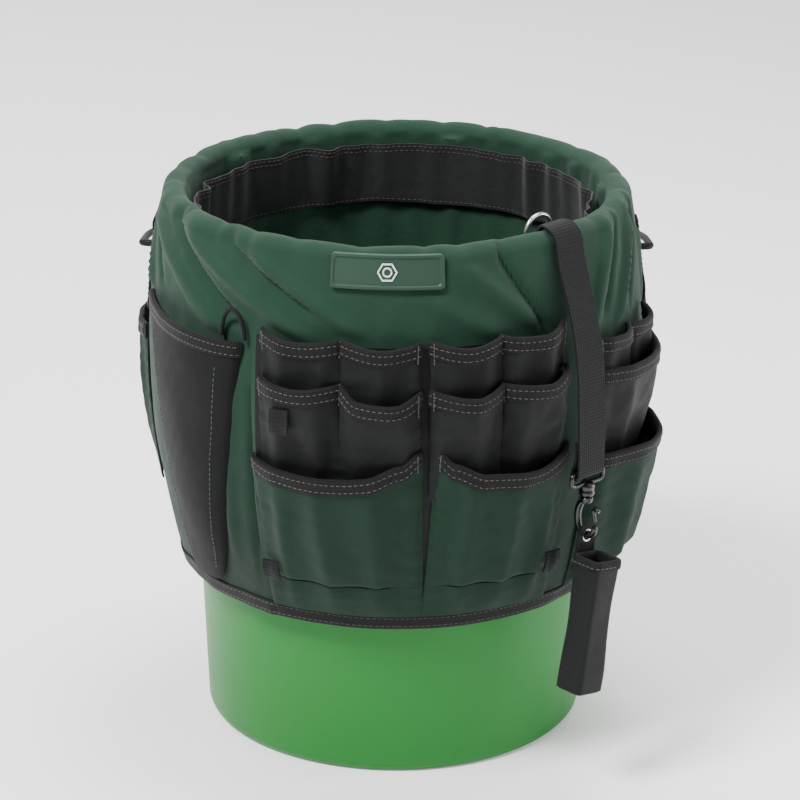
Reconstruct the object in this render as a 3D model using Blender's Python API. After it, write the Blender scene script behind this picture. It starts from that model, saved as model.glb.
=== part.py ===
"""Tool bucket organizer: a fabric pocket skirt hooked over the rim of its pail.

The pail's axis is Z and the floor is z = 0; the front faces -Y and +X is to its right.
Inside the script lengths are millimetres and angles are degrees; meshes are made in metres.
An angle round the pail, phi, is 0 at the front and grows towards +X.
"""

import math

import bmesh
import bpy
from mathutils import Matrix, Vector

MM = 0.001

# The pail
PAIL_HEIGHT = 368.0
PAIL_FOOT_RADIUS = 131.0
PAIL_TOP_RADIUS = 146.0
PAIL_LIP_RADIUS = 151.5
PAIL_WALL = 2.2
PAIL_SIDES = 36

# The skirt: its outer layer bellies out, folds over the pail's lip and hangs down inside
SKIRT_BELLY_RADIUS = 168.5
SKIRT_BELLY_HEIGHT = 262.0
SKIRT_CURVE_UP = 0.00083
SKIRT_CURVE_DOWN = 0.00102
SKIRT_HEM = 114.0
SKIRT_FOLD_START = 370.0
SKIRT_FOLD_RISE = 10.0
SKIRT_INNER_HEM = 195.0
SKIRT_CLOTH = 1.6
LINING_GAP = 1.3
SEAM_GAP = 0.4

# The pockets
POCKET_CLOTH = 1.1
CLOTH_GAP = 0.5
BACKING_CLOTH = 1.0
BINDING_CLOTH = 0.9
BINDING_GAP = 0.5
BINDING_WIDTH = 10.0

# The slits for the bail
SLIT_HALF_ANGLE = 2.2
SLIT_BOTTOM = 292.0
SLIT_TOP = 350.0

# The bail
BAIL_PIVOT_HEIGHT = 333.0
BAIL_REST_DROOP = 11.0
BAIL_HALF_WIDTH = 173.0
BAIL_REACH = 195.0
BAIL_WIRE_RADIUS = 2.5
GRIP_HALF_LENGTH = 52.0
GRIP_RADIUS = 12.0
GRIP_BORE = 3.2

# The ring and the hanging strap
RING_ANGLE = 43.0
RING_MEAN_RADIUS = 11.6
RING_WIRE_RADIUS = 1.4
RING_PIVOT_RADIUS = 133.6
RING_PIVOT_HEIGHT = 362.0
RING_LEAN = 4.0
KEEPER_HALF_WIDTH = 4.5
KEEPER_CLOTH = 1.0
STRAP_HALF_WIDTH = 12.0
STRAP_CLOTH = 1.6
HOOK_ANGLE = 43.0
HOOK_RADIUS = 187.5
HOOK_TOP = 222.0

# The pouch on the hook
POUCH_WIDTH = 22.5
POUCH_DEPTH = 21.0
POUCH_HEIGHT = 92.0
POUCH_WALL = 1.3
POUCH_TOP_DROP = 12.0
POUCH_TILT = 9.0


def clear_scene():
    """Start from an empty scene."""
    for item in list(bpy.data.objects):
        bpy.data.objects.remove(item)


def make_material(name, colour, roughness, metallic=0.0):
    """A plain Principled material."""
    material = bpy.data.materials.new(name)
    material.use_nodes = True
    shader = material.node_tree.nodes["Principled BSDF"]
    shader.inputs["Base Color"].default_value = (*colour, 1.0)
    shader.inputs["Roughness"].default_value = roughness
    shader.inputs["Metallic"].default_value = metallic
    return material


def make_materials():
    """Every material of the object, by name."""
    return {
        "pail_green": make_material("pail_green", (0.12, 0.37, 0.14), 0.35),
        "skirt_green": make_material("skirt_green", (0.045, 0.13, 0.085), 0.9),
        "pocket_black": make_material("pocket_black", (0.03, 0.034, 0.034), 0.9),
        "binding_black": make_material("binding_black", (0.025, 0.027, 0.027), 0.8),
        "patch_green": make_material("patch_green", (0.05, 0.14, 0.09), 0.5),
        "steel": make_material("steel", (0.55, 0.55, 0.55), 0.3, 1.0),
        "black_plastic": make_material("black_plastic", (0.02, 0.02, 0.02), 0.4),
    }


def polar(phi, radius, height):
    """A point at angle phi, in millimetres."""
    turn = math.radians(phi)
    return Vector((radius * math.sin(turn), -radius * math.cos(turn), height))


def radial(phi):
    """The unit vector that points away from the axis at phi."""
    return polar(phi, 1.0, 0.0)


def tangent(phi):
    """The unit vector along growing phi."""
    return polar(phi + 90.0, 1.0, 0.0)


def steps(start, end, count):
    """count + 1 values from start to end."""
    return [start + (end - start) * index / count for index in range(count + 1)]


def finish_mesh(name, mesh_data, material, pivot=None):
    """Turn a bmesh in millimetres into an object in metres, with its origin at pivot."""
    bmesh.ops.remove_doubles(mesh_data, verts=mesh_data.verts, dist=0.001)
    bmesh.ops.recalc_face_normals(mesh_data, faces=mesh_data.faces)
    origin = Vector(pivot) if pivot is not None else Vector((0.0, 0.0, 0.0))
    for vertex in mesh_data.verts:
        vertex.co = (vertex.co - origin) * MM
    mesh = bpy.data.meshes.new(name)
    mesh_data.to_mesh(mesh)
    mesh_data.free()
    mesh.materials.append(material)
    mesh.shade_smooth()
    mesh.set_sharp_from_angle(angle=math.radians(35.0))
    item = bpy.data.objects.new(name, mesh)
    item.location = origin * MM
    bpy.context.scene.collection.objects.link(item)
    return item


def sheet_solid(name, front, back, material, closed=False, keep=None, pivot=None):
    """A closed solid between two grids of points, rows by columns.

    closed joins the last column to the first. keep(row, column) leaves out a cell.
    """
    rows = len(front)
    columns = len(front[0])
    cell_columns = columns if closed else columns - 1
    mesh_data = bmesh.new()
    front_verts = [[mesh_data.verts.new(point) for point in row] for row in front]
    back_verts = [[mesh_data.verts.new(point) for point in row] for row in back]

    def kept(row, column):
        if row < 0 or row >= rows - 1:
            return False
        if closed:
            column %= cell_columns
        elif column < 0 or column >= cell_columns:
            return False
        return keep is None or keep(row, column)

    def wall(first, second):
        (row_a, column_a), (row_b, column_b) = first, second
        mesh_data.faces.new((front_verts[row_a][column_a], front_verts[row_b][column_b],
                             back_verts[row_b][column_b], back_verts[row_a][column_a]))

    for row in range(rows - 1):
        for column in range(cell_columns):
            if not kept(row, column):
                continue
            after = (column + 1) % columns
            corners = ((row, column), (row, after), (row + 1, after), (row + 1, column))
            for half in (corners[:3], (corners[0], corners[2], corners[3])):
                mesh_data.faces.new([front_verts[r][c] for r, c in half])
                mesh_data.faces.new([back_verts[r][c] for r, c in reversed(half)])
            if not kept(row - 1, column):
                wall(corners[0], corners[1])
            if not kept(row, column + 1):
                wall(corners[1], corners[2])
            if not kept(row + 1, column):
                wall(corners[2], corners[3])
            if not kept(row, column - 1):
                wall(corners[3], corners[0])
    loose = [vertex for vertex in mesh_data.verts if not vertex.link_faces]
    bmesh.ops.delete(mesh_data, geom=loose, context="VERTS")
    return finish_mesh(name, mesh_data, material, pivot)


def turned(name, outline, material, frame=None, sides=PAIL_SIDES, pivot=None):
    """Spin a closed outline of (radius, height) round the Z axis of frame."""
    frame = frame or Matrix.Identity(4)
    mesh_data = bmesh.new()
    rings = []
    for radius, height in outline:
        if radius == 0.0:
            rings.append([mesh_data.verts.new(frame @ Vector((0.0, 0.0, height)))])
            continue
        ring = []
        for index in range(sides):
            turn = 2.0 * math.pi * (index + 0.5) / sides
            point = Vector((radius * math.cos(turn), radius * math.sin(turn), height))
            ring.append(mesh_data.verts.new(frame @ point))
        rings.append(ring)
    for index, ring in enumerate(rings):
        following = rings[(index + 1) % len(rings)]
        if len(ring) == 1 and len(following) == 1:
            continue
        for side in range(sides):
            after = (side + 1) % sides
            corners = [ring[side % len(ring)], ring[after % len(ring)],
                       following[after % len(following)], following[side % len(following)]]
            mesh_data.faces.new(list(dict.fromkeys(corners)))
    return finish_mesh(name, mesh_data, material, pivot)


def swept(name, path, radius, material, sides=8, closed=False, pivot=None, normal=None):
    """A round bar along a path that lies in the plane across normal."""
    normal = Vector(normal).normalized()
    count = len(path)
    mesh_data = bmesh.new()
    rings = []
    for index, point in enumerate(path):
        before = path[index - 1] if closed or index > 0 else point
        after = path[(index + 1) % count] if closed or index < count - 1 else point
        along = (Vector(after) - Vector(before)).normalized()
        across = along.cross(normal).normalized()
        ring = []
        for side in range(sides):
            turn = 2.0 * math.pi * (side + 0.5) / sides
            offset = across * math.cos(turn) + normal * math.sin(turn)
            ring.append(mesh_data.verts.new(Vector(point) + offset * radius))
        rings.append(ring)
    spans = count if closed else count - 1
    for index in range(spans):
        ring, following = rings[index], rings[(index + 1) % count]
        for side in range(sides):
            after = (side + 1) % sides
            mesh_data.faces.new((ring[side], ring[after], following[after], following[side]))
    if not closed:
        mesh_data.faces.new(rings[0])
        mesh_data.faces.new(rings[-1])
    return finish_mesh(name, mesh_data, material, pivot)


def apply_boolean(item, other, operation):
    """Join or cut item with other, and drop other."""
    modifier = item.modifiers.new(operation.lower(), "BOOLEAN")
    modifier.operation = operation
    modifier.solver = "EXACT"
    modifier.object = other
    bpy.context.view_layer.update()
    evaluated = item.evaluated_get(bpy.context.evaluated_depsgraph_get())
    mesh = bpy.data.meshes.new_from_object(evaluated)
    item.modifiers.clear()
    item.data = mesh
    bpy.data.objects.remove(other)


# ---------------------------------------------------------------- the pail

def pail_radius(height):
    """The outside radius of the pail's wall."""
    return PAIL_FOOT_RADIUS + (PAIL_TOP_RADIUS - PAIL_FOOT_RADIUS) * height / PAIL_HEIGHT


def make_pail(materials):
    """The pail: a floor with a shallow ring groove, and a tapered wall with collar and lip."""
    lip_bottom = PAIL_HEIGHT - 11.0
    collar = 302.0
    floor_top = 3.6
    wall_bottom = floor_top + SEAM_GAP
    turned("bucket_floor", [
        (0.0, 0.0),
        (104.0, 0.0),
        (106.0, 1.2),
        (118.0, 1.2),
        (120.0, 0.0),
        (126.0, 0.0),
        (130.0, 2.6),
        (pail_radius(floor_top), floor_top),
        (0.0, floor_top),
    ], materials["pail_green"])
    turned("bucket_wall", [
        (pail_radius(wall_bottom), wall_bottom),
        (pail_radius(collar), collar),
        (150.0, collar + 0.6),
        (150.0, collar + 3.0),
        (pail_radius(collar), collar + 3.6),
        (pail_radius(lip_bottom), lip_bottom),
        (PAIL_LIP_RADIUS, lip_bottom + 1.5),
        (PAIL_LIP_RADIUS, PAIL_HEIGHT - 1.5),
        (PAIL_LIP_RADIUS - 1.5, PAIL_HEIGHT),
        (pail_radius(PAIL_HEIGHT) - PAIL_WALL + 1.0, PAIL_HEIGHT),
        (pail_radius(PAIL_HEIGHT) - PAIL_WALL, PAIL_HEIGHT - 1.0),
        (pail_radius(9.0) - PAIL_WALL, 9.0),
        (pail_radius(9.0) - PAIL_WALL - 4.0, wall_bottom),
    ], materials["pail_green"])


def make_bail_ears(materials):
    """The two bosses that hold the ends of the bail."""
    boss_start = PAIL_TOP_RADIUS + 0.8
    boss_end = 157.0
    outline = [
        (3.2, boss_start),
        (11.0, boss_start),
        (11.0, boss_start + 2.5),
        (7.5, boss_start + 4.0),
        (7.0, boss_end),
        (3.2, boss_end),
    ]
    for side_name, sign in (("left", -1.0), ("right", 1.0)):
        frame = Matrix.Translation((0.0, 0.0, BAIL_PIVOT_HEIGHT))
        frame = frame @ Matrix.Rotation(sign * math.pi / 2.0, 4, "Y")
        turned(f"bail_ear_{side_name}", outline, materials["pail_green"], frame, sides=16)


# ---------------------------------------------------------------- the skirt

def skirt_radius(height):
    """The outside radius of the skirt's outer layer."""
    rise = height - SKIRT_BELLY_HEIGHT
    curve = SKIRT_CURVE_UP if rise > 0.0 else SKIRT_CURVE_DOWN
    return SKIRT_BELLY_RADIUS - curve * rise * rise


def lining_radius(height):
    """The radius of the lining's face that looks at the pail's wall."""
    return pail_radius(height) - PAIL_WALL - LINING_GAP


def round_angles():
    """Angles right round, with a narrow step at each slit."""
    half = steps(SLIT_HALF_ANGLE - 90.0, 90.0 - SLIT_HALF_ANGLE, 17)
    return half + [angle + 180.0 for angle in half]


def make_skirt(materials):
    """The outer layer, the fold over the lip, and the lining, which are sewn edge to edge."""
    green = materials["skirt_green"]
    angles = round_angles()

    def shell(name, line, keep=None):
        front = [[polar(phi, *pair[0]) for phi in angles] for pair in line]
        back = [[polar(phi, *pair[1]) for phi in angles] for pair in line]
        sheet_solid(name, front, back, green, closed=True, keep=keep)

    outer_heights = [SKIRT_HEM, 145.0, 180.0, 220.0, SLIT_BOTTOM, 310.0, SLIT_TOP,
                     SKIRT_FOLD_START - SEAM_GAP]
    line = [((skirt_radius(height), height), (skirt_radius(height) - SKIRT_CLOTH, height))
            for height in outer_heights]
    slit_rows = range(outer_heights.index(SLIT_BOTTOM), outer_heights.index(SLIT_TOP))
    slit_columns = (17, 35)
    shell("skirt", line, lambda row, column: row not in slit_rows or column not in slit_columns)
    shell("rim_fold", rim_fold_line())
    line = [((lining_radius(height) - SKIRT_CLOTH, height), (lining_radius(height), height))
            for height in (SKIRT_FOLD_START - SEAM_GAP, 280.0, SKIRT_INNER_HEM)]
    shell("lining", line)


def rim_fold_line():
    """The fold over the lip: pairs of (radius, height), outside and inside of the cloth."""
    outer_edge = skirt_radius(SKIRT_FOLD_START)
    inner_edge = lining_radius(SKIRT_FOLD_START) - SKIRT_CLOTH
    middle = (outer_edge + inner_edge) / 2.0
    reach = (outer_edge - inner_edge) / 2.0
    line = []
    for turn in steps(0.0, 180.0, 4):
        cosine, sine = math.cos(math.radians(turn)), math.sin(math.radians(turn))
        outside = (middle + reach * cosine, SKIRT_FOLD_START + SKIRT_FOLD_RISE * sine)
        inside = (middle + (reach - SKIRT_CLOTH) * cosine,
                  SKIRT_FOLD_START + (SKIRT_FOLD_RISE - SKIRT_CLOTH) * sine)
        line.append((outside, inside))
    return line


def make_ring_band(name, heights, inner_face, cloth, material):
    """A band of cloth right round the pail; a negative cloth lies inside inner_face."""
    angles = round_angles()
    front = [[polar(phi, inner_face(height) + cloth, height) for phi in angles]
             for height in heights]
    back = [[polar(phi, inner_face(height), height) for phi in angles] for height in heights]
    sheet_solid(name, front, back, material, closed=True)


def make_skirt_trim(materials):
    """The bindings along both hems and round the slits."""
    black = materials["binding_black"]
    make_ring_band("skirt_hem_binding", (112.0, 123.5),
                   lambda height: skirt_radius(height) + CLOTH_GAP, 1.2, black)
    make_ring_band("lining_hem_binding", (193.0, 204.0),
                   lambda height: lining_radius(height) - SKIRT_CLOTH - 0.8, -1.2, black)
    for side_name, middle in (("left", -90.0), ("right", 90.0)):
        angles = [middle + step for step in (-4.2, -2.4, 2.4, 4.2)]
        heights = (SLIT_BOTTOM - 5.0, SLIT_BOTTOM + 0.5, 308.0, 324.0, SLIT_TOP - 0.5,
                   SLIT_TOP + 5.0)
        front = [[polar(phi, skirt_radius(height) + 1.6, height) for phi in angles]
                 for height in heights]
        back = [[polar(phi, skirt_radius(height) + 0.6, height) for phi in angles]
                for height in heights]

        def keep(row, column):
            return column != 1 or row in (0, 4)

        sheet_solid(f"slit_binding_{side_name}", front, back, black, keep=keep)


def make_inner_band(materials):
    """The gathered pocket band inside the mouth, open at its top."""
    pockets = 3
    depth = 11.0
    heights = (323.0, 342.0, 366.0)
    angles = steps(RING_ANGLE, RING_ANGLE + 360.0, 36)[:-1]

    def face(phi, height, cloth):
        share = ((phi - RING_ANGLE) * pockets / 360.0) % 1.0
        lift = ((height - heights[0]) / (heights[-1] - heights[0])) ** 0.7
        swell = depth * math.sin(math.pi * share) * lift
        return polar(phi, lining_radius(height) - SKIRT_CLOTH - 0.8 - swell - cloth, height)

    front = [[face(phi, height, POCKET_CLOTH) for phi in angles] for height in heights]
    back = [[face(phi, height, 0.0) for phi in angles] for height in heights]
    sheet_solid("inner_pocket_band", front, back, materials["pocket_black"], closed=True)


def make_label_patch(materials):
    """A plain raised patch under the front of the rim."""
    angles = steps(-14.4, 10.6, 8)
    heights = steps(355.0, 376.0, 3)
    front = [[polar(phi, skirt_radius(height) + CLOTH_GAP + 2.2, height) for phi in angles]
             for height in heights]
    back = [[polar(phi, skirt_radius(height) + CLOTH_GAP, height) for phi in angles]
            for height in heights]
    sheet_solid("label_patch", front, back, materials["patch_green"])


# ---------------------------------------------------------------- the pockets

def interpolate(table, value):
    """Read a short list of (position, amount) pairs."""
    if value <= table[0][0]:
        return table[0][1]
    for (low, low_amount), (high, high_amount) in zip(table, table[1:]):
        if value <= high:
            return low_amount + (high_amount - low_amount) * (value - low) / (high - low)
    return table[-1][1]


def make_pocket(name, seams, heights, lift, swell, cloth_material, binding_material):
    """A row of open-topped pockets between seams, with a binding along the rim.

    seams are the angles sewn down; heights are the rows, bottom to top. lift is how far the
    cloth's inner face stands off the skirt at a height, and swell how far it bulges there.
    """
    cells = 5 if len(seams) > 2 else 8
    angles = [seams[0]]
    for low, high in zip(seams, seams[1:]):
        angles += steps(low, high, cells)[1:]

    def swollen(phi, height):
        for low, high in zip(seams, seams[1:]):
            if low <= phi <= high:
                share = (phi - low) / (high - low)
                arch = max(0.0, math.sin(math.pi * share)) ** 0.75
                return interpolate(swell, height) * arch
        return 0.0

    def face(phi, height, extra):
        radius = skirt_radius(height) + interpolate(lift, height) + swollen(phi, height)
        return polar(phi, radius + extra, height)

    front = [[face(phi, height, POCKET_CLOTH) for phi in angles] for height in heights]
    back = [[face(phi, height, 0.0) for phi in angles] for height in heights]
    sheet_solid(name, front, back, cloth_material)
    binding_back = POCKET_CLOTH + BINDING_GAP
    front = [[face(phi, height, binding_back + BINDING_CLOTH) for phi in angles]
             for height in heights[-2:]]
    back = [[face(phi, height, binding_back) for phi in angles] for height in heights[-2:]]
    sheet_solid(f"{name}_binding", front, back, binding_material)


def pocket_heights(bottom, top, rows):
    """Even rows from bottom to top, with the last one as wide as the binding."""
    return steps(bottom, top - BINDING_WIDTH, rows) + [top]


def make_front_pockets(materials):
    """Three tiers on a black backing panel: two columns of two strips over one large pocket."""
    angles = steps(-32.0, 40.5, 12)
    heights = pocket_heights(126.0, 316.0, 6)
    back_face = CLOTH_GAP
    front = [[polar(phi, skirt_radius(height) + back_face + BACKING_CLOTH, height)
              for phi in angles] for height in heights]
    back = [[polar(phi, skirt_radius(height) + back_face, height) for phi in angles]
            for height in heights]
    sheet_solid("front_backing_panel", front, back, materials["pocket_black"])

    tier_one = back_face + BACKING_CLOTH + CLOTH_GAP
    tier_two = tier_one + POCKET_CLOTH + CLOTH_GAP
    tier_three = tier_two + POCKET_CLOTH + CLOTH_GAP
    black, green = materials["pocket_black"], materials["skirt_green"]
    binding = materials["binding_black"]
    columns = (
        ("left", (-30.0, -11.7, 5.4), (-30.6, 5.4)),
        ("right", (7.6, 23.4, 39.6), (7.6, 40.0)),
    )
    for side_name, strip_seams, pocket_seams in columns:
        make_pocket(f"front_upper_pockets_{side_name}", strip_seams,
                    pocket_heights(264.0, 318.0, 3), ((264.0, tier_one), (318.0, tier_one)),
                    ((264.0, 0.0), (280.0, 4.5), (318.0, 9.5)), black, binding)
        make_pocket(f"front_middle_pockets_{side_name}", strip_seams,
                    pocket_heights(214.0, 288.0, 4),
                    ((252.0, tier_one), (262.0, tier_two)),
                    ((214.0, 0.0), (235.0, 4.0), (262.0, 9.5), (288.0, 13.5)), black, binding)
        make_pocket(f"front_lower_pocket_{side_name}", pocket_seams,
                    [126.0, 137.0, 150.0, 165.0, 185.0, 205.0, 225.0, 235.0],
                    ((203.0, tier_one), (213.0, tier_two), (250.0, tier_three)),
                    ((126.0, 0.0), (137.0, 3.5), (150.0, 2.0), (165.0, 8.5), (200.0, 13.0),
                     (235.0, 12.0)), green, binding)


def make_right_pockets(materials):
    """Upper strip, a black pocket and a large green pocket on the right side."""
    black, green = materials["pocket_black"], materials["skirt_green"]
    binding = materials["binding_black"]
    first = CLOTH_GAP
    second = first + POCKET_CLOTH + CLOTH_GAP
    third = second + POCKET_CLOTH + CLOTH_GAP
    make_pocket("right_upper_pockets", (51.0, 65.0, 80.0), pocket_heights(248.0, 302.0, 3),
                ((248.0, first), (302.0, first)), ((248.0, 0.0), (266.0, 4.0), (302.0, 8.0)),
                black, binding)
    make_pocket("right_middle_pocket", (51.0, 83.0), pocket_heights(196.0, 281.0, 4),
                ((236.0, first), (247.0, second)),
                ((196.0, 0.0), (225.0, 5.5), (248.0, 9.0), (281.0, 12.5)), black, binding)
    make_pocket("right_lower_pocket", (50.0, 84.0), pocket_heights(125.0, 223.0, 6),
                ((184.0, first), (195.0, second), (240.0, third)),
                ((125.0, 1.0), (140.0, 17.0), (190.0, 17.0), (223.0, 17.0)), green, binding)


def make_rear_pockets(materials):
    """Two columns at the back, and one pocket behind each slit."""
    black, green = materials["pocket_black"], materials["skirt_green"]
    binding = materials["binding_black"]
    first = CLOTH_GAP
    second = first + POCKET_CLOTH + CLOTH_GAP
    for side_name, low, high in (("left", 181.5, 214.0), ("right", 146.0, 178.5)):
        middle = (low + high) / 2.0
        make_pocket(f"rear_upper_pockets_{side_name}", (low, middle, high),
                    pocket_heights(212.0, 284.0, 4), ((212.0, first), (284.0, first)),
                    ((212.0, 0.0), (235.0, 4.0), (284.0, 9.5)), black, binding)
        make_pocket(f"rear_lower_pocket_{side_name}", (low, high),
                    pocket_heights(126.0, 235.0, 6), ((200.0, first), (211.0, second)),
                    ((126.0, 0.0), (150.0, 5.0), (200.0, 13.0), (235.0, 12.0)), green, binding)
    for side_name, low, high, top, depth in (("left", 245.0, 275.0, 279.0, 7.0),
                                             ("right", 97.0, 132.0, 284.0, 11.0)):
        make_pocket(f"side_rear_pocket_{side_name}", (low, high),
                    pocket_heights(168.0, top, 6), ((168.0, first), (top, first)),
                    ((168.0, 0.0), (200.0, 0.64 * depth), (240.0, depth), (top, depth)), green,
                    binding)


def make_holster(materials):
    """A stiff tapered holster on the left front, with a bound mouth and a small loop."""
    columns, rows = 10, 9
    left_top, right_top = -76.0, -36.0
    left_bottom, right_bottom = -63.0, -52.0
    bottom, mouth_left, mouth_right = 126.0, 313.0, 309.0
    depth = 13.0

    def face(share_across, share_up, extra):
        left = left_bottom + (left_top - left_bottom) * share_up ** 2.0
        right = right_bottom + (right_top - right_bottom) * share_up ** 0.45
        phi = left + (right - left) * share_across
        mouth = mouth_left + (mouth_right - mouth_left) * share_across
        height = bottom + (mouth - bottom) * share_up
        arch = max(0.0, math.sin(math.pi * share_across)) ** 0.55
        swell = depth * arch * min(1.0, share_up * 3.0) ** 0.7
        return polar(phi, skirt_radius(height) + CLOTH_GAP + swell + extra, height)

    across = steps(0.0, 1.0, columns)
    up = steps(0.0, 0.95, rows) + [1.0]
    cloth = 1.6
    front = [[face(u, v, cloth) for u in across] for v in up]
    back = [[face(u, v, 0.0) for u in across] for v in up]
    sheet_solid("holster", front, back, materials["pocket_black"])
    front = [[face(u, v, cloth + BINDING_GAP + BINDING_CLOTH) for u in across] for v in up[-2:]]
    back = [[face(u, v, cloth + BINDING_GAP) for u in across] for v in up[-2:]]
    sheet_solid("holster_binding", front, back, materials["binding_black"])


def make_small_tabs(materials):
    """Short webbing tabs sewn into the seams of the front pockets and behind the holster."""
    tabs = (
        ("tab_front_middle", -25.5, -21.5, 260.0, 276.0, 17.6),
        ("tab_front_lower_left", -30.5, -26.5, 150.0, 163.0, 13.0),
        ("tab_front_lower_right", 36.0, 40.0, 150.0, 165.0, 13.0),
    )
    for name, low, high, bottom, top, stand in tabs:
        angles = steps(low, high, 2)
        heights = steps(bottom, top, 1)
        front = [[polar(phi, skirt_radius(height) + stand + 1.5, height) for phi in angles]
                 for height in heights]
        back = [[polar(phi, skirt_radius(height) + stand, height) for phi in angles]
                for height in heights]
        sheet_solid(name, front, back, materials["binding_black"])
    arch_height, arch_foot = 331.0, 312.0
    path = []
    for turn in steps(0.0, 180.0, 8):
        angle = math.radians(turn)
        path.append(polar(-38.0 - 3.2 * math.cos(angle), skirt_radius(arch_foot) + 3.4,
                          arch_foot + (arch_height - arch_foot) * math.sin(angle)))
    swept("holster_loop", path, 1.4, materials["binding_black"], sides=6,
          normal=radial(-38.0))


# ---------------------------------------------------------------- the bail

def bail_point(across, reach, above=0.0):
    """A point of the bail's plane at rest: across is X, reach is away from the pivots."""
    droop = math.radians(BAIL_REST_DROOP)
    along = Vector((0.0, math.cos(droop), -math.sin(droop)))
    upward = Vector((0.0, math.sin(droop), math.cos(droop)))
    pivot = Vector((0.0, 0.0, BAIL_PIVOT_HEIGHT))
    return pivot + Vector((across, 0.0, 0.0)) + along * reach + upward * above


def bail_half_path():
    """One half of the wire's centre line as (across, reach), from the ear to the middle."""
    elbow = 6.0
    straight_leg = 40.0
    shoulder = GRIP_HALF_LENGTH + 3.0
    half = [(148.5, 0.0), (BAIL_HALF_WIDTH - elbow, 0.0)]
    for turn in (30.0, 60.0, 90.0):
        angle = math.radians(turn)
        half.append((BAIL_HALF_WIDTH - elbow + elbow * math.sin(angle),
                     elbow - elbow * math.cos(angle)))
    for turn in steps(0.0, 90.0, 9):
        angle = math.radians(turn)
        half.append((shoulder + (BAIL_HALF_WIDTH - shoulder) * math.cos(angle),
                     straight_leg + (BAIL_REACH - straight_leg) * math.sin(angle)))
    return half


def make_bail(materials):
    """The wire bail, lying back on the rear pockets, and its turning grip."""
    half = bail_half_path()
    line = half + [(-across, reach) for across, reach in reversed(half)]
    droop = math.radians(BAIL_REST_DROOP)
    upward = (0.0, math.sin(droop), math.cos(droop))
    pivot = (0.0, 0.0, BAIL_PIVOT_HEIGHT)
    swept("bail_wire", [bail_point(across, reach) for across, reach in line],
          BAIL_WIRE_RADIUS, materials["steel"], normal=upward, pivot=pivot)
    end = GRIP_HALF_LENGTH
    outline = [
        (GRIP_BORE, -end),
        (GRIP_RADIUS - 3.0, -end),
        (GRIP_RADIUS - 1.0, -end + 4.0),
        (GRIP_RADIUS, -end / 2.0),
        (GRIP_RADIUS, end / 2.0),
        (GRIP_RADIUS - 1.0, end - 4.0),
        (GRIP_RADIUS - 3.0, end),
        (GRIP_BORE, end),
    ]
    centre = bail_point(0.0, BAIL_REACH)
    frame = Matrix.Translation(centre) @ Matrix.Rotation(math.pi / 2.0, 4, "Y")
    turned("bail_grip", outline, materials["black_plastic"], frame, sides=16, pivot=centre)


# ------------------------------------------------- the ring, strap, hook and pouch

def make_ring(materials):
    """The steel ring standing inside the rim, and the webbing keeper that holds it."""
    pivot = polar(RING_ANGLE, RING_PIVOT_RADIUS, RING_PIVOT_HEIGHT)
    lean = math.radians(RING_LEAN)
    upward = radial(RING_ANGLE) * math.sin(lean) + Vector((0.0, 0.0, math.cos(lean)))
    side = tangent(RING_ANGLE)
    path = []
    for turn in steps(0.0, 360.0, 24)[:-1]:
        angle = math.radians(turn)
        path.append(pivot + upward * RING_MEAN_RADIUS * (1.0 - math.cos(angle))
                    + side * RING_MEAN_RADIUS * math.sin(angle))
    swept("tool_ring", path, RING_WIRE_RADIUS, materials["steel"], sides=6, closed=True,
          pivot=pivot, normal=side.cross(upward))

    loop_radius = 3.3
    line = [(skirt_radius(height) + 1.6, height) for height in (346.0, 358.0, SKIRT_FOLD_START)]
    outer_edge = line[-1][0]
    inner_edge = RING_PIVOT_RADIUS + loop_radius
    middle, reach = (outer_edge + inner_edge) / 2.0, (outer_edge - inner_edge) / 2.0
    for turn in (35.0, 70.0, 105.0, 140.0):
        angle = math.radians(turn)
        line.append((middle + reach * math.cos(angle),
                     SKIRT_FOLD_START + (SKIRT_FOLD_RISE + 1.8) * math.sin(angle)))
    line.append((inner_edge, SKIRT_FOLD_START))
    for turn in steps(0.0, -315.0, 10):
        angle = math.radians(turn)
        line.append((RING_PIVOT_RADIUS + loop_radius * math.cos(angle),
                     RING_PIVOT_HEIGHT + loop_radius * math.sin(angle)))
    front, back = [], []
    for index, (radius, height) in enumerate(line):
        before = line[max(0, index - 1)]
        after = line[min(len(line) - 1, index + 1)]
        along = Vector((after[0] - before[0], after[1] - before[1])).normalized()
        across = Vector((along.y, -along.x)) * KEEPER_CLOTH / 2.0
        for rows, sign in ((front, 1.0), (back, -1.0)):
            point = polar(RING_ANGLE, radius + sign * across.x, height + sign * across.y)
            rows.append([point - side * KEEPER_HALF_WIDTH, point + side * KEEPER_HALF_WIDTH])
    sheet_solid("ring_keeper", front, back, materials["binding_black"])


def strap_line():
    """The strap's middle from the rim to the hook, as (radius, height)."""
    return [
        (163.9, 368.0),
        (170.5, 345.0),
        (179.5, 318.0),
        (185.0, 290.0),
        (186.5, 258.0),
        (HOOK_RADIUS, HOOK_TOP + 6.0),
    ]


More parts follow.
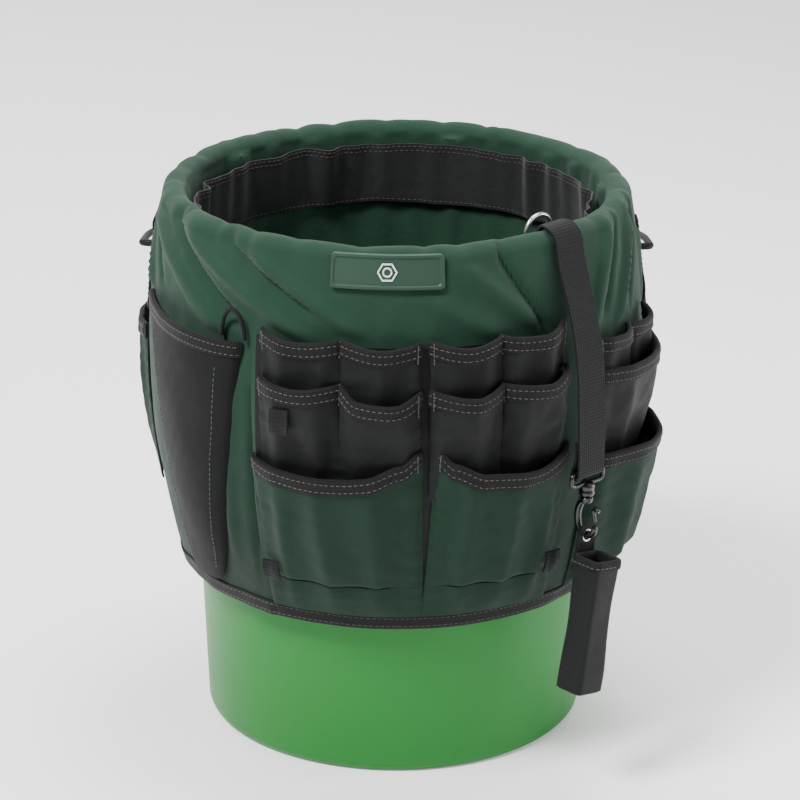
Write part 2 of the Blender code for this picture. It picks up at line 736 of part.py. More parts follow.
def make_strap(materials):
    """The webbing strap that hangs from the rim, ending in a loop round the hook's eye."""
    pivot = polar(HOOK_ANGLE, *strap_line()[0])
    front, back = [], []
    side = tangent(HOOK_ANGLE)
    outward = radial(HOOK_ANGLE)
    for radius, height in strap_line():
        middle = polar(HOOK_ANGLE, radius, height)
        for rows, sign in ((front, 0.5), (back, -0.5)):
            point = middle + outward * sign * STRAP_CLOTH
            rows.append([point + side * share * STRAP_HALF_WIDTH for share in (-1.0, 1.0)])
    loop_radius = 3.2
    centre = polar(HOOK_ANGLE, HOOK_RADIUS - loop_radius, HOOK_TOP)
    for turn in steps(0.0, -270.0, 9):
        angle = math.radians(turn)
        direction = outward * math.cos(angle) + Vector((0.0, 0.0, math.sin(angle)))
        for rows, sign in ((front, 0.5), (back, -0.5)):
            point = centre + direction * (loop_radius + sign * STRAP_CLOTH)
            rows.append([point + side * share * STRAP_HALF_WIDTH for share in (-1.0, 1.0)])
    sheet_solid("hanging_strap", front, back, materials["binding_black"], pivot=pivot)


def hook_frame():
    """Axes of the snap hook: X is radial, Z is up, and the origin is the strap's loop."""
    outward, side = radial(HOOK_ANGLE), tangent(HOOK_ANGLE)
    origin = polar(HOOK_ANGLE, HOOK_RADIUS - 3.2, HOOK_TOP)
    frame = Matrix.Identity(4)
    for row in range(3):
        frame[row][0], frame[row][1], frame[row][3] = outward[row], side[row], origin[row]
    frame[2][2] = 1.0
    return frame


def make_hook(materials):
    """A swivel snap hook: the eye in the strap's loop, the hook and its sprung gate."""
    black = materials["black_plastic"]
    frame = hook_frame()
    half, drop, corner = 14.5, 8.5, 3.0
    eye_path = []
    corners = ((half, 0.0), (half, -drop), (-half, -drop), (-half, 0.0))
    for index, (across, height) in enumerate(corners):
        centre_x = across - math.copysign(corner, across)
        centre_z = height - corner if height == 0.0 else height + corner
        start = (0.0, 270.0, 180.0, 90.0)[index]
        for turn in (75.0, 45.0, 15.0):
            angle = math.radians(start + turn)
            eye_path.append(frame @ Vector((0.0, centre_x + corner * math.cos(angle),
                                            centre_z + corner * math.sin(angle))))
    eye = swept("hook_eye", eye_path, 1.5, black, sides=8, closed=True,
                normal=radial(HOOK_ANGLE))
    barrel_outline = [(2.1, -17.0), (4.6, -17.0), (5.2, -15.5), (5.2, -9.5), (4.0, -8.0),
                      (0.0, -7.6), (0.0, -10.6), (3.2, -10.6), (3.2, -14.0), (2.1, -14.0)]
    barrel = turned("barrel", barrel_outline, black, frame, sides=16)
    apply_boolean(eye, barrel, "UNION")

    stem_outline = [(0.0, -11.2), (2.7, -11.2), (2.7, -13.4), (1.6, -13.4), (1.6, -17.4),
                    (4.2, -17.8), (4.2, -20.5), (3.0, -22.0), (0.0, -22.0)]
    pivot = frame @ Vector((0.0, 0.0, -15.0))
    hook_line = [(-0.6, -20.0), (-4.6, -23.5), (-7.0, -28.5), (-7.6, -34.5), (-6.4, -40.0),
                 (-3.2, -43.8), (0.8, -45.0), (4.8, -43.8), (7.4, -40.6), (8.0, -36.8)]
    hook = swept("hook_body", [frame @ Vector((across, 0.0, height))
                               for across, height in hook_line],
                 2.1, black, sides=8, normal=tangent(HOOK_ANGLE), pivot=pivot)
    stem = turned("stem", stem_outline, black, frame, sides=16)
    apply_boolean(hook, stem, "UNION")

    gate_line = [(11.2, -25.6), (7.6, -25.4), (6.6, -26.6), (7.2, -30.0), (7.9, -33.6)]
    gate_pivot = frame @ Vector((6.2, 0.0, -24.8))
    swept("hook_gate", [frame @ Vector((across, 0.0, height)) for across, height in gate_line],
          1.5, black, sides=8, normal=tangent(HOOK_ANGLE), pivot=gate_pivot)


def make_pouch(materials):
    """A small square pouch with an open top, on a tongue whose eyelet takes the hook."""
    frame = hook_frame()
    hook_bottom = -45.0
    eyelet = frame @ Vector((0.8, 0.0, hook_bottom))
    tilt = Matrix.Rotation(math.radians(-POUCH_TILT), 4, radial(HOOK_ANGLE))
    placed = Matrix.Translation(eyelet) @ tilt @ Matrix.Translation(-eyelet) @ frame
    top = hook_bottom - POUCH_TOP_DROP
    bottom = top - POUCH_HEIGHT
    half_width = POUCH_WIDTH / 2.0
    near = 2.6
    middle = near + POUCH_DEPTH / 2.0
    half_depth = POUCH_DEPTH / 2.0
    corner = 4.0

    def outline(inset):
        points = []
        for sign_x, sign_y, start in ((1, -1, 270.0), (1, 1, 0.0), (-1, 1, 90.0),
                                      (-1, -1, 180.0)):
            centre_x = middle + sign_x * (half_depth - corner)
            centre_y = sign_y * (half_width - corner)
            for turn in (0.0, 30.0, 60.0, 90.0):
                angle = math.radians(start + turn)
                points.append((centre_x + (corner - inset) * math.cos(angle),
                               centre_y + (corner - inset) * math.sin(angle)))
        return points

    mesh_data = bmesh.new()
    loops = []
    for height, inset in ((bottom, 1.0), (bottom + 1.0, 0.0), (top, 0.0), (top, POUCH_WALL),
                          (bottom + 2.4, POUCH_WALL)):
        loops.append([mesh_data.verts.new(placed @ Vector((x, y, height)))
                      for x, y in outline(inset)])
    for lower, upper in zip(loops, loops[1:]):
        count = len(lower)
        for index in range(count):
            after = (index + 1) % count
            mesh_data.faces.new((lower[index], lower[after], upper[after], upper[index]))
    mesh_data.faces.new(loops[0])
    mesh_data.faces.new(loops[-1])
    finish_mesh("pouch_body", mesh_data, materials["pocket_black"], eyelet)

    hole, head = 4.2, 8.2
    tongue_bottom = top - 14.0
    front, back = [], []
    for turn in steps(-75.0, 255.0, 16):
        angle = math.radians(turn)
        outer = (head * math.cos(angle), hook_bottom + head * math.sin(angle))
        inner = (hole * math.cos(angle), hook_bottom + hole * math.sin(angle))
        for rows, depth in ((front, 1.5), (back, 0.1)):
            rows.append([placed @ Vector((depth, y, z)) for y, z in (outer, inner)])
    tongue = sheet_solid("pouch_tongue", front, back, materials["pocket_black"], pivot=eyelet)
    neck = hook_bottom - hole - 0.6
    rows = ((neck, 7.0), (top + 4.0, half_width - 2.0), (tongue_bottom, half_width - 2.0))
    front = [[placed @ Vector((1.5, y, z)) for y in (-half, half)] for z, half in rows]
    back = [[placed @ Vector((0.1, y, z)) for y in (-half, half)] for z, half in rows]
    skirt_part = sheet_solid("tongue_lower", front, back, materials["pocket_black"])
    apply_boolean(tongue, skirt_part, "UNION")


def main():
    """Build the whole object."""
    clear_scene()
    materials = make_materials()
    make_pail(materials)
    make_bail_ears(materials)
    make_skirt(materials)
    make_skirt_trim(materials)
    make_inner_band(materials)
    make_label_patch(materials)
    make_front_pockets(materials)
    make_right_pockets(materials)
    make_rear_pockets(materials)
    make_holster(materials)
    make_small_tabs(materials)
    make_bail(materials)
    make_ring(materials)
    make_strap(materials)
    make_hook(materials)
    make_pouch(materials)


main()
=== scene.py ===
"""The looks of the tool bucket organizer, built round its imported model.

Lengths in this script are millimetres unless a name says otherwise, and angles are degrees.
phi is the angle round the pail: 0 at the front (-Y), growing towards +X.
"""

import math

import bmesh
import bpy
import numpy as np
from mathutils import Matrix, Vector


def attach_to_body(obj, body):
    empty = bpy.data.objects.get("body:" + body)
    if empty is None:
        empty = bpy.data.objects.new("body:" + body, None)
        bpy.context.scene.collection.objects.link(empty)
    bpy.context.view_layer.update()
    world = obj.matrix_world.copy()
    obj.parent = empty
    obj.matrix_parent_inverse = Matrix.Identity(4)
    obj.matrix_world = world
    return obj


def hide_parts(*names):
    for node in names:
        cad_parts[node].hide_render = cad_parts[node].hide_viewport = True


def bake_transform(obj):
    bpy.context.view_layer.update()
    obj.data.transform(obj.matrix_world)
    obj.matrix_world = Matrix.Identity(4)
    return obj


MM = 0.001

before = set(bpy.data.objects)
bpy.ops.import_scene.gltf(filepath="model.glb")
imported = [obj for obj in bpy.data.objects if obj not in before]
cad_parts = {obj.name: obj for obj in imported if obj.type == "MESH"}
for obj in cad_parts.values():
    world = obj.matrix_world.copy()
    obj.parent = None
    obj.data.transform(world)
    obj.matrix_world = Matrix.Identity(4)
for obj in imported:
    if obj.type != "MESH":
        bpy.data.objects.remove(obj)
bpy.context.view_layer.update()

# ---------------------------------------------------------------- the design's own sizes

PAIL_HEIGHT = 368.0
PAIL_FOOT_RADIUS = 131.0
PAIL_TOP_RADIUS = 146.0
PAIL_LIP_RADIUS = 151.5
PAIL_WALL = 2.2
BELLY_RADIUS = 168.5
BELLY_HEIGHT = 262.0
CURVE_UP = 0.00083
CURVE_DOWN = 0.00102
HEM = 114.0
FOLD_START = 370.0
FOLD_RISE = 10.0
INNER_HEM = 195.0
LINING_GAP = 1.3
SLIT_BOTTOM = 292.0
SLIT_TOP = 350.0
BAIL_PIVOT = 333.0
BAIL_DROOP = 11.0
BAIL_HALF_WIDTH = 173.0
BAIL_REACH = 195.0
RING_ANGLE = 43.0
RING_PIVOT_RADIUS = 133.6
RING_PIVOT_HEIGHT = 362.0
HOOK_ANGLE = 43.0
HOOK_RADIUS = 184.3
HOOK_TOP = 222.0
PATCH_ANGLE = -1.9
SKIRT_CLOTH = 1.3
SKIRT_INSET = 0.8
CLOTH_GAP = 0.5
POCKET_CLOTH = 1.1


def pail_radius(height):
    """The outside radius of the pail's wall."""
    return PAIL_FOOT_RADIUS + (PAIL_TOP_RADIUS - PAIL_FOOT_RADIUS) * height / PAIL_HEIGHT


def skirt_radius(height):
    """The outside radius of the skirt's outer layer."""
    rise = np.asarray(height, float) - BELLY_HEIGHT
    return BELLY_RADIUS - np.where(rise > 0.0, CURVE_UP, CURVE_DOWN) * rise * rise


def lining_radius(height):
    """The radius of the lining's face that looks at the pail's wall."""
    return pail_radius(height) - PAIL_WALL - LINING_GAP


def polar(phi, radius, height):
    """Points at phi, broadcast over arrays, in millimetres."""
    turn = np.radians(np.asarray(phi, float))
    radius = np.asarray(radius, float)
    height = np.asarray(height, float)
    turn, radius, height = np.broadcast_arrays(turn, radius, height)
    return np.stack((radius * np.sin(turn), -radius * np.cos(turn), height), axis=-1)


def radial(phi):
    """The unit vector away from the axis."""
    return polar(phi, 1.0, 0.0)


def tangent(phi):
    """The unit vector along growing phi."""
    return polar(phi + 90.0, 1.0, 0.0)


# ---------------------------------------------------------------- materials

WEAVE_PITCH = 0.0011
SOFT_SPECULAR = 0.17


def set_inputs(node, **values):
    """Set sockets by name, with _ for a space."""
    for key, value in values.items():
        node.inputs[key.replace("_", " ")].default_value = value


def shaded(colour, share):
    """A colour made darker or lighter."""
    return tuple(min(1.0, channel * share) for channel in colour)


class Nodes:
    """A node material, with short ways to add nodes to it."""

    def __init__(self, name):
        self.material = bpy.data.materials.new(name)
        self.material.use_nodes = True
        self.tree = self.material.node_tree
        self.shader = self.tree.nodes["Principled BSDF"]
        self.place = self.add("ShaderNodeTexCoord").outputs["Object"]

    def add(self, kind, **values):
        """A node with its own settings."""
        node = self.tree.nodes.new(kind)
        for key, value in values.items():
            setattr(node, key, value)
        return node

    def feed(self, socket, value):
        """Give a socket a number, or link another socket to it."""
        if isinstance(value, (int, float)):
            socket.default_value = value
        else:
            self.tree.links.new(value, socket)

    def cloth_map(self):
        """The map along the cloth, in metres."""
        return self.add("ShaderNodeUVMap", uv_map="cloth").outputs["UV"]

    def noise(self, coordinates, scale, detail=3.0, roughness=0.55):
        """A noise texture's value."""
        node = self.add("ShaderNodeTexNoise")
        self.feed(node.inputs["Vector"], coordinates)
        set_inputs(node, Scale=scale, Detail=detail, Roughness=roughness)
        return node.outputs["Fac"]

    def wave(self, coordinates, direction, period):
        """A sine wave of a period in metres; 0.314159 is the scale of a period of 1 m."""
        node = self.add("ShaderNodeTexWave", wave_type="BANDS", bands_direction=direction)
        self.feed(node.inputs["Vector"], coordinates)
        set_inputs(node, Scale=0.314159 / period, Distortion=0.0)
        return node.outputs["Fac"]

    def maths(self, operation, first, second):
        """A math node on two sockets or numbers."""
        node = self.add("ShaderNodeMath", operation=operation)
        self.feed(node.inputs[0], first)
        self.feed(node.inputs[1], second)
        return node.outputs[0]

    def weighted(self, *pairs):
        """The sum of (value, share) pairs."""
        parts = [self.maths("MULTIPLY", value, share) for value, share in pairs]
        total = parts[0]
        for part in parts[1:]:
            total = self.maths("ADD", total, part)
        return total

    def mixed(self, tone, dark, light):
        """A colour between dark and light."""
        mix = self.add("ShaderNodeMix", data_type="RGBA")
        self.feed(mix.inputs["Factor"], tone)
        mix.inputs[6].default_value = (*dark, 1.0)
        mix.inputs[7].default_value = (*light, 1.0)
        return mix.outputs[2]

    def painted_shade_below(self, base, share):
        """Painted shade: darker towards the hem, where share is the tone left at the hem."""
        split = self.add("ShaderNodeSeparateXYZ")
        self.feed(split.inputs["Vector"], self.place)
        ramp = self.add("ShaderNodeMapRange", interpolation_type="SMOOTHSTEP")
        for socket, value in zip(ramp.inputs, (split.outputs["Z"], 0.13, 0.3, share, 1.0)):
            self.feed(socket, value)
        mix = self.add("ShaderNodeMix", data_type="RGBA", blend_type="MULTIPLY")
        set_inputs(mix, Factor=1.0)
        self.feed(mix.inputs[6], base)
        self.feed(mix.inputs[7], ramp.outputs["Result"])
        return mix.outputs[2]

    def bump(self, height, strength, distance, under=None):
        """The normal raised by a height, over another normal if one is given."""
        node = self.add("ShaderNodeBump")
        set_inputs(node, Strength=strength, Distance=distance)
        self.feed(node.inputs["Height"], height)
        if under is not None:
            self.feed(node.inputs["Normal"], under)
        return node.outputs["Normal"]

    def finish(self, base, normal, roughness, **values):
        """Feed the shader, and give back the material."""
        self.feed(self.shader.inputs["Base Color"], base)
        self.feed(self.shader.inputs["Normal"], normal)
        self.feed(self.shader.inputs["Roughness"], roughness)
        set_inputs(self.shader, **values)
        return self.material


def make_cloth_material(name, colour, sheen, spread=0.22, rough=0.82, hem_shade_share=None):
    """Woven polyester: a plain weave in relief, uneven yarn and a soft blotchy fade."""
    nodes = Nodes(name)
    uv = nodes.cloth_map()
    warp = nodes.wave(uv, "X", WEAVE_PITCH)
    weft = nodes.wave(uv, "Y", WEAVE_PITCH)
    under = nodes.maths("MULTIPLY", nodes.maths("SUBTRACT", 1.0, warp),
                        nodes.maths("SUBTRACT", 1.0, weft))
    crossed = nodes.maths("ADD", nodes.maths("MULTIPLY", warp, weft), under)
    yarn = nodes.noise(uv, 700.0, detail=2.0)
    blotch = nodes.noise(nodes.place, 14.0, detail=4.0)
    tone = nodes.weighted((crossed, 0.35), (yarn, 0.35), (blotch, 0.45))
    base = nodes.mixed(tone, shaded(colour, 1.0 - spread), shaded(colour, 1.0 + spread))
    # painted shade: the cloth is darkened towards the hem, where less light falls
    if hem_shade_share:
        base = nodes.painted_shade_below(base, hem_shade_share)
    weave = nodes.bump(nodes.weighted((crossed, 1.0), (yarn, 0.8)), 0.55, 0.00035)
    crumple = nodes.bump(nodes.noise(nodes.place, 55.0, detail=4.0), 0.5, 0.0022, weave)
    return nodes.finish(base, crumple, rough, Sheen_Weight=sheen, Sheen_Roughness=0.45,
                        Specular_IOR_Level=SOFT_SPECULAR)


def make_tape_material(name, colour, rib=0.0016):
    """Ribbed woven tape, for bindings and webbing; ribs run across its length."""
    nodes = Nodes(name)
    uv = nodes.cloth_map()
    picks = nodes.wave(uv, "X", rib * 0.75)
    crossed = nodes.maths("MULTIPLY", nodes.wave(uv, "Y", rib), nodes.maths("ADD", picks, 0.4))
    yarn = nodes.noise(uv, 900.0, detail=2.0)
    fade = nodes.noise(nodes.place, 30.0)
    tone = nodes.weighted((crossed, 0.3), (yarn, 0.3), (fade, 0.5))
    base = nodes.mixed(tone, shaded(colour, 0.75), shaded(colour, 1.25))
    ribs = nodes.bump(nodes.maths("ADD", crossed, yarn), 0.6, 0.0004)
    return nodes.finish(base, ribs, 0.7, Sheen_Weight=0.05, Sheen_Roughness=0.4,
                        Specular_IOR_Level=SOFT_SPECULAR)


def make_thread_material(name, colour):
    """Twisted sewing thread."""
    nodes = Nodes(name)
    worn = nodes.noise(nodes.place, 160.0, detail=2.0)
    base = nodes.mixed(worn, shaded(colour, 0.6), shaded(colour, 1.35))
    twist = nodes.bump(nodes.noise(nodes.place, 2500.0), 0.5, 0.0002)
    return nodes.finish(base, twist, 0.6, Sheen_Weight=0.2)


def make_moulded_material(name, colour, rough, spread=0.1, coat=0.0, specular=0.4):
    """Moulded plastic or rubber: fine grain, scuffs that dull it and a slight change of tone."""
    nodes = Nodes(name)
    tone = nodes.noise(nodes.place, 9.0)
    base = nodes.mixed(tone, shaded(colour, 1.0 - spread), shaded(colour, 1.0 + spread))
    stretch = nodes.add("ShaderNodeMapping")
    set_inputs(stretch, Scale=(1.0, 1.0, 0.25))
    nodes.feed(stretch.inputs["Vector"], nodes.place)
    scuff = nodes.noise(stretch.outputs["Vector"], 40.0, detail=8.0, roughness=0.7)
    roughness = nodes.maths("ADD", nodes.maths("MULTIPLY", scuff, 0.22), rough - 0.11)
    grain = nodes.bump(nodes.noise(nodes.place, 1200.0, detail=2.0), 0.35, 0.00008)
    return nodes.finish(base, grain, roughness, Coat_Weight=coat, Coat_Roughness=0.12,
                        Specular_IOR_Level=specular)


def make_metal_material(name, colour, rough):
    """Plated steel wire with fine draw marks and dull patches."""
    nodes = Nodes(name)
    dull = nodes.noise(nodes.place, 120.0, detail=6.0, roughness=0.7)
    base = nodes.mixed(dull, shaded(colour, 0.75), shaded(colour, 1.1))
    roughness = nodes.maths("ADD", nodes.maths("MULTIPLY", dull, 0.3), rough - 0.12)
    marks = nodes.bump(nodes.noise(nodes.place, 1800.0), 0.3, 0.00005)
    return nodes.finish(base, marks, roughness, Metallic=1.0)


GREEN = (0.0098, 0.034, 0.0195)
BLACK = (0.0040, 0.0044, 0.0047)
materials = {
    # painted shade: the skirt's green darkens towards its hem
    "green": make_cloth_material("green_cloth", GREEN, 0.08, hem_shade_share=0.5),
    # painted shade: a darker copy of the green cloth for the pockets that face down and get less
    # light
    "pocket_green": make_cloth_material("pocket_green_cloth", shaded(GREEN, 0.62), 0.05),
    "black": make_cloth_material("black_cloth", BLACK, 0.04, spread=0.35, rough=0.6),
    # painted shade: a darker copy of the black cloth for the holster; only its higher roughness
    # is its own
    "holster": make_cloth_material("holster_cloth", shaded(BLACK, 0.85), 0.02, spread=0.3,
                                   rough=0.75),
    # painted light: a lighter copy of the black cloth for the inner band, standing in for light
    # where the mouth's shade falls
    "band": make_cloth_material("band_cloth", shaded(BLACK, 2.6), 0.1, spread=0.35, rough=0.6),
    "binding": make_tape_material("binding_tape", (0.0046, 0.0048, 0.005)),
    "webbing": make_tape_material("strap_webbing", (0.0052, 0.0056, 0.0056), rib=0.0022),
    "thread": make_thread_material("tan_thread", (0.05, 0.039, 0.034)),
    "tack": make_thread_material("grey_thread", (0.05, 0.054, 0.054)),
    "red_thread": make_thread_material("brown_thread", (0.04, 0.017, 0.012)),
    "pail": make_moulded_material("pail_plastic", (0.011, 0.158, 0.022), 0.42, spread=0.07,
                                  specular=0.22),
    "patch": make_moulded_material("patch_rubber", (0.011, 0.038, 0.022), 0.5),
    "emblem": make_moulded_material("emblem_ink", (0.62, 0.64, 0.63), 0.5),
    "grip": make_moulded_material("grip_plastic", (0.005, 0.005, 0.005), 0.45),
    "hook": make_moulded_material("hook_plastic", (0.004, 0.004, 0.0042), 0.28, coat=0.2),
    "bail": make_moulded_material("bail_coating", (0.004, 0.004, 0.0042), 0.6, specular=0.2),
    "ring": make_metal_material("ring_steel", (0.62, 0.62, 0.62), 0.24),
}

# ---------------------------------------------------------------- mesh making


def link_mesh(name, points, faces, material, corner_uvs=None, sharp=50.0):
    """An object from points in millimetres, with an optional map, face corner by corner."""
    mesh = bpy.data.meshes.new(name)
    mesh.from_pydata((np.asarray(points, float) * MM).tolist(), [], faces)
    if corner_uvs is not None:
        layer = mesh.uv_layers.new(name="cloth")
        layer.data.foreach_set("uv", np.asarray(corner_uvs, np.float32).ravel())
    cleaner = bmesh.new()
    cleaner.from_mesh(mesh)
    bmesh.ops.recalc_face_normals(cleaner, faces=cleaner.faces)
    cleaner.to_mesh(mesh)
    cleaner.free()
    mesh.materials.append(materials[material])
    mesh.shade_smooth()
    mesh.set_sharp_from_angle(angle=math.radians(sharp))
    item = bpy.data.objects.new(name, mesh)
    bpy.context.scene.collection.objects.link(item)
    return item


def grid_normals(grid, closed=False):
    """Unit normals of a grid of points (rows, columns, 3)."""
    if closed:
        across = np.roll(grid, -1, axis=1) - np.roll(grid, 1, axis=1)
    else:
        across = np.gradient(grid, axis=1)
    along = np.gradient(grid, axis=0)
    normal = np.cross(across, along)
    return normal / np.maximum(np.linalg.norm(normal, axis=2, keepdims=True), 1e-9)


def grid_lengths(grid):
    """Distances in metres along the columns' and the rows' directions, as a map."""
    looped = np.concatenate((grid, grid[:, :1]), axis=1)
    across = np.linalg.norm(np.diff(looped, axis=1), axis=2).mean(axis=0)
    along = np.linalg.norm(np.diff(grid, axis=0), axis=2).mean(axis=1)
    u = np.concatenate(([0.0], np.cumsum(across))) * MM
    v = np.concatenate(([0.0], np.cumsum(along))) * MM
    return u, v


def make_sheet(name, grid, thickness, material, closed=False, keep=None):
    """A cloth of even thickness centred on a grid, closed round its edges."""
    rows, columns = grid.shape[:2]
    normals = grid_normals(grid, closed)
    front = grid + normals * thickness / 2.0
    back = grid - normals * thickness / 2.0
    points = np.concatenate((front.reshape(-1, 3), back.reshape(-1, 3)))
    u, v = grid_lengths(grid)
    corner_uvs = []
    cells = columns if closed else columns - 1
    kept = np.ones((rows - 1, cells), bool) if keep is None else keep
    shift = rows * columns
    faces = []

    def is_kept(row, column):
        if closed:
            column %= cells
        if not 0 <= row < rows - 1 or not 0 <= column < cells:
            return False
        return kept[row, column]

    for row in range(rows - 1):
        for column in range(cells):
            if not kept[row, column]:
                continue
            after = (column + 1) % columns
            a, b = row * columns + column, row * columns + after
            d, c = (row + 1) * columns + column, (row + 1) * columns + after
            faces.append((a, b, c, d))
            faces.append((d + shift, c + shift, b + shift, a + shift))
            low, high, near, far = v[row], v[row + 1], u[column], u[column + 1]
            corner_uvs += [(near, low), (far, low), (far, high), (near, high),
                           (near, high), (far, high), (far, low), (near, low)]
            edges = (
                ((row - 1, column), a, b), ((row, column + 1), b, c),
                ((row + 1, column), c, d), ((row, column - 1), d, a),
            )
            for neighbour, first, second in edges:
                if not is_kept(*neighbour):
                    faces.append((second, first, first + shift, second + shift))
                    corner_uvs += [(near, low), (far, high), (far, high), (near, low)]
    # the points inside a gap are left out
    used = sorted({index for face in faces for index in face})
    renumber = {old: new for new, old in enumerate(used)}
    faces = [tuple(renumber[index] for index in face) for face in faces]
    return link_mesh(name, points[used], faces, material, corner_uvs)


def make_loft(name, sections, material, closed_path=False, sharp=50.0):
    """A solid through closed cross-sections (count, points, 3), capped at its ends."""
    sections = np.asarray(sections, float)
    count, around = sections.shape[:2]
    middle = sections.mean(axis=1)
    middle = np.concatenate((middle, middle[:1]))
    v = np.concatenate(([0.0], np.cumsum(np.linalg.norm(np.diff(middle, axis=0), axis=1)))) * MM
    outline = np.concatenate((sections[0], sections[0][:1]))
    u = np.concatenate(([0.0], np.cumsum(np.linalg.norm(np.diff(outline, axis=0), axis=1)))) * MM
    faces, corner_uvs = [], []
    spans = count if closed_path else count - 1
    for index in range(spans):
        following = (index + 1) % count
        for side in range(around):
            after = (side + 1) % around
            faces.append((index * around + side, index * around + after,
                          following * around + after, following * around + side))
            corner_uvs += [(u[side], v[index]), (u[side + 1], v[index]),
                           (u[side + 1], v[index + 1]), (u[side], v[index + 1])]
    if not closed_path:
        faces.append(tuple(range(around)))
        faces.append(tuple((count - 1) * around + side for side in reversed(range(around))))
        corner_uvs += [(u[side], 0.0) for side in range(around)] * 2
    return link_mesh(name, sections.reshape(-1, 3), faces, material, corner_uvs, sharp)


def make_turned(name, outline, material, matrix=None, sides=144, sharp=40.0):
    """Spin a closed outline of (radius, height) round Z; a radius of 0 is a pole."""
    matrix = matrix or Matrix.Identity(4)
    points, rings = [], []
    for radius, height in outline:
        if radius == 0.0:
            rings.append([len(points)])
            points.append(matrix @ Vector((0.0, 0.0, height)))
            continue
        rings.append(list(range(len(points), len(points) + sides)))
        for index in range(sides):
            turn = 2.0 * math.pi * index / sides
            points.append(matrix @ Vector((radius * math.cos(turn), radius * math.sin(turn),
                                           height)))
    faces = []
    for index, ring in enumerate(rings):
        following = rings[(index + 1) % len(rings)]
        if len(ring) == 1 and len(following) == 1:
            continue
        for side in range(sides):
            after = (side + 1) % sides
            corners = (ring[side % len(ring)], ring[after % len(ring)],
                       following[after % len(following)], following[side % len(following)])
            faces.append(tuple(dict.fromkeys(corners)))
    return link_mesh(name, points, faces, material, sharp=sharp)


def corner_arcs(half_x, half_y, corner, count):
    """A rectangle's rounded corners: signs, then rows of (x, y, normal x, normal y)."""
    for sign_x, sign_y, start in ((1, 1, 0.0), (-1, 1, 90.0), (-1, -1, 180.0), (1, -1, 270.0)):
        turns = np.radians(start + np.linspace(0.0, 90.0, count))
        normal = np.stack((np.cos(turns), np.sin(turns)), axis=1)
        centre = np.array((sign_x * (half_x - corner), sign_y * (half_y - corner)))
        yield sign_x, sign_y, np.concatenate((centre + corner * normal, normal), axis=1)


def rounded_outline(half_x, half_y, corner, count):
    """The rounded corners as one closed outline."""
    return np.concatenate([arc for _, _, arc in corner_arcs(half_x, half_y, corner, count)])


def filled_in(outline, step):
    """A closed outline with points added, about a step apart."""
    dense = []
    for index, first in enumerate(outline):
        second = outline[(index + 1) % len(outline)]
        parts = max(1, int(np.linalg.norm((second - first)[:2]) / step))
        dense += [first + (second - first) * share for share in np.arange(parts) / parts]
    return np.array(dense)


def smooth_path(points, per_span):
    """A Catmull-Rom curve through points."""
    points = [np.asarray(point, float) for point in points]
    count = len(points)
    path = []
    for index in range(count - 1):
        p1, p2 = points[index], points[index + 1]
        p0 = points[index - 1] if index > 0 else 2.0 * p1 - p2
        p3 = points[index + 2] if index + 2 < count else 2.0 * p2 - p1
        for t in np.arange(per_span) / per_span:
            path.append(0.5 * ((2.0 * p1) + (p2 - p0) * t
                               + (2.0 * p0 - 5.0 * p1 + 4.0 * p2 - p3) * t ** 2
                               + (3.0 * p1 - p0 - 3.0 * p2 + p3) * t ** 3))
    path.append(points[-1])
    return np.array(path)


def make_bar(name, path, radius, material, normal, sides=16, closed=False):
    """A round bar along a flat path; radius may be one value or one per point."""
    path = np.asarray(path, float)
    normal = np.asarray(normal, float) / np.linalg.norm(normal)
    if closed:
        along = np.roll(path, -1, axis=0) - np.roll(path, 1, axis=0)
    else:
        along = np.gradient(path, axis=0)
    along /= np.linalg.norm(along, axis=1, keepdims=True)
    across = np.cross(along, normal)
    turns = 2.0 * math.pi * np.arange(sides) / sides
    radii = np.broadcast_to(np.asarray(radius, float), (len(path),))
    ring = (across[:, None, :] * np.cos(turns)[None, :, None]
            + normal[None, None, :] * np.sin(turns)[None, :, None])
    sections = path[:, None, :] + ring * radii[:, None, None]
    return make_loft(name, sections, material, closed_path=closed)


def below_edge(grid, normals, distance, from_top=True):
    """Points and normals a distance in from a grid's last (or first) row, column by column."""
    if not from_top:
        grid, normals = grid[::-1], normals[::-1]
    edge, inner = grid[-1], grid[-2]
    if distance <= 0.0:
        outward = edge - inner
        outward /= np.maximum(np.linalg.norm(outward, axis=1, keepdims=True), 1e-9)
        return edge - outward * distance, normals[-1]
    steps = np.linalg.norm(np.diff(grid, axis=0), axis=2)
    depth = np.concatenate((np.cumsum(steps[::-1], axis=0)[::-1], np.zeros((1, grid.shape[1]))))
    points = np.empty_like(edge)
    found = np.empty_like(edge)
    for column in range(grid.shape[1]):
        order = depth[::-1, column]
        for axis in range(3):
            points[column, axis] = np.interp(distance, order, grid[::-1, column, axis])
            found[column, axis] = np.interp(distance, order, normals[::-1, column, axis])
    found /= np.maximum(np.linalg.norm(found, axis=1, keepdims=True), 1e-9)
    return points, found


# (offset from the cloth's middle, depth in from its edge)
BINDING_SECTION = (
    (1.75, 9.6), (1.9, 8.6), (1.85, 5.5), (1.9, 2.2), (1.75, 0.3), (1.2, -0.7), (0.0, -1.1),
    (-1.2, -0.7), (-1.7, 0.3), (-1.7, 5.0), (-1.6, 9.4), (-0.75, 9.4), (-0.75, 4.0),
    (-0.7, 0.4), (0.0, 0.0), (0.7, 0.4), (0.75, 4.0), (0.75, 9.6),
)


def make_binding(name, grid, closed=False, from_top=True, width=1.0):
    """Tape folded over the edge of a cloth."""
    normals = grid_normals(grid, closed)
    lines = []
    for offset, depth in BINDING_SECTION:
        line, facing = below_edge(grid, normals, depth * (width if depth > 0.0 else 1.0),
                                  from_top)
        lines.append(line + facing * offset)
    sections = np.array(lines).transpose(1, 0, 2)
    return make_loft(name, sections, "binding", closed_path=closed)


STITCH_PROFILE = ((-0.5, 0.25), (-0.36, 0.9), (0.0, 1.0), (0.36, 0.9), (0.5, 0.25))
STITCH_SIDES = 6


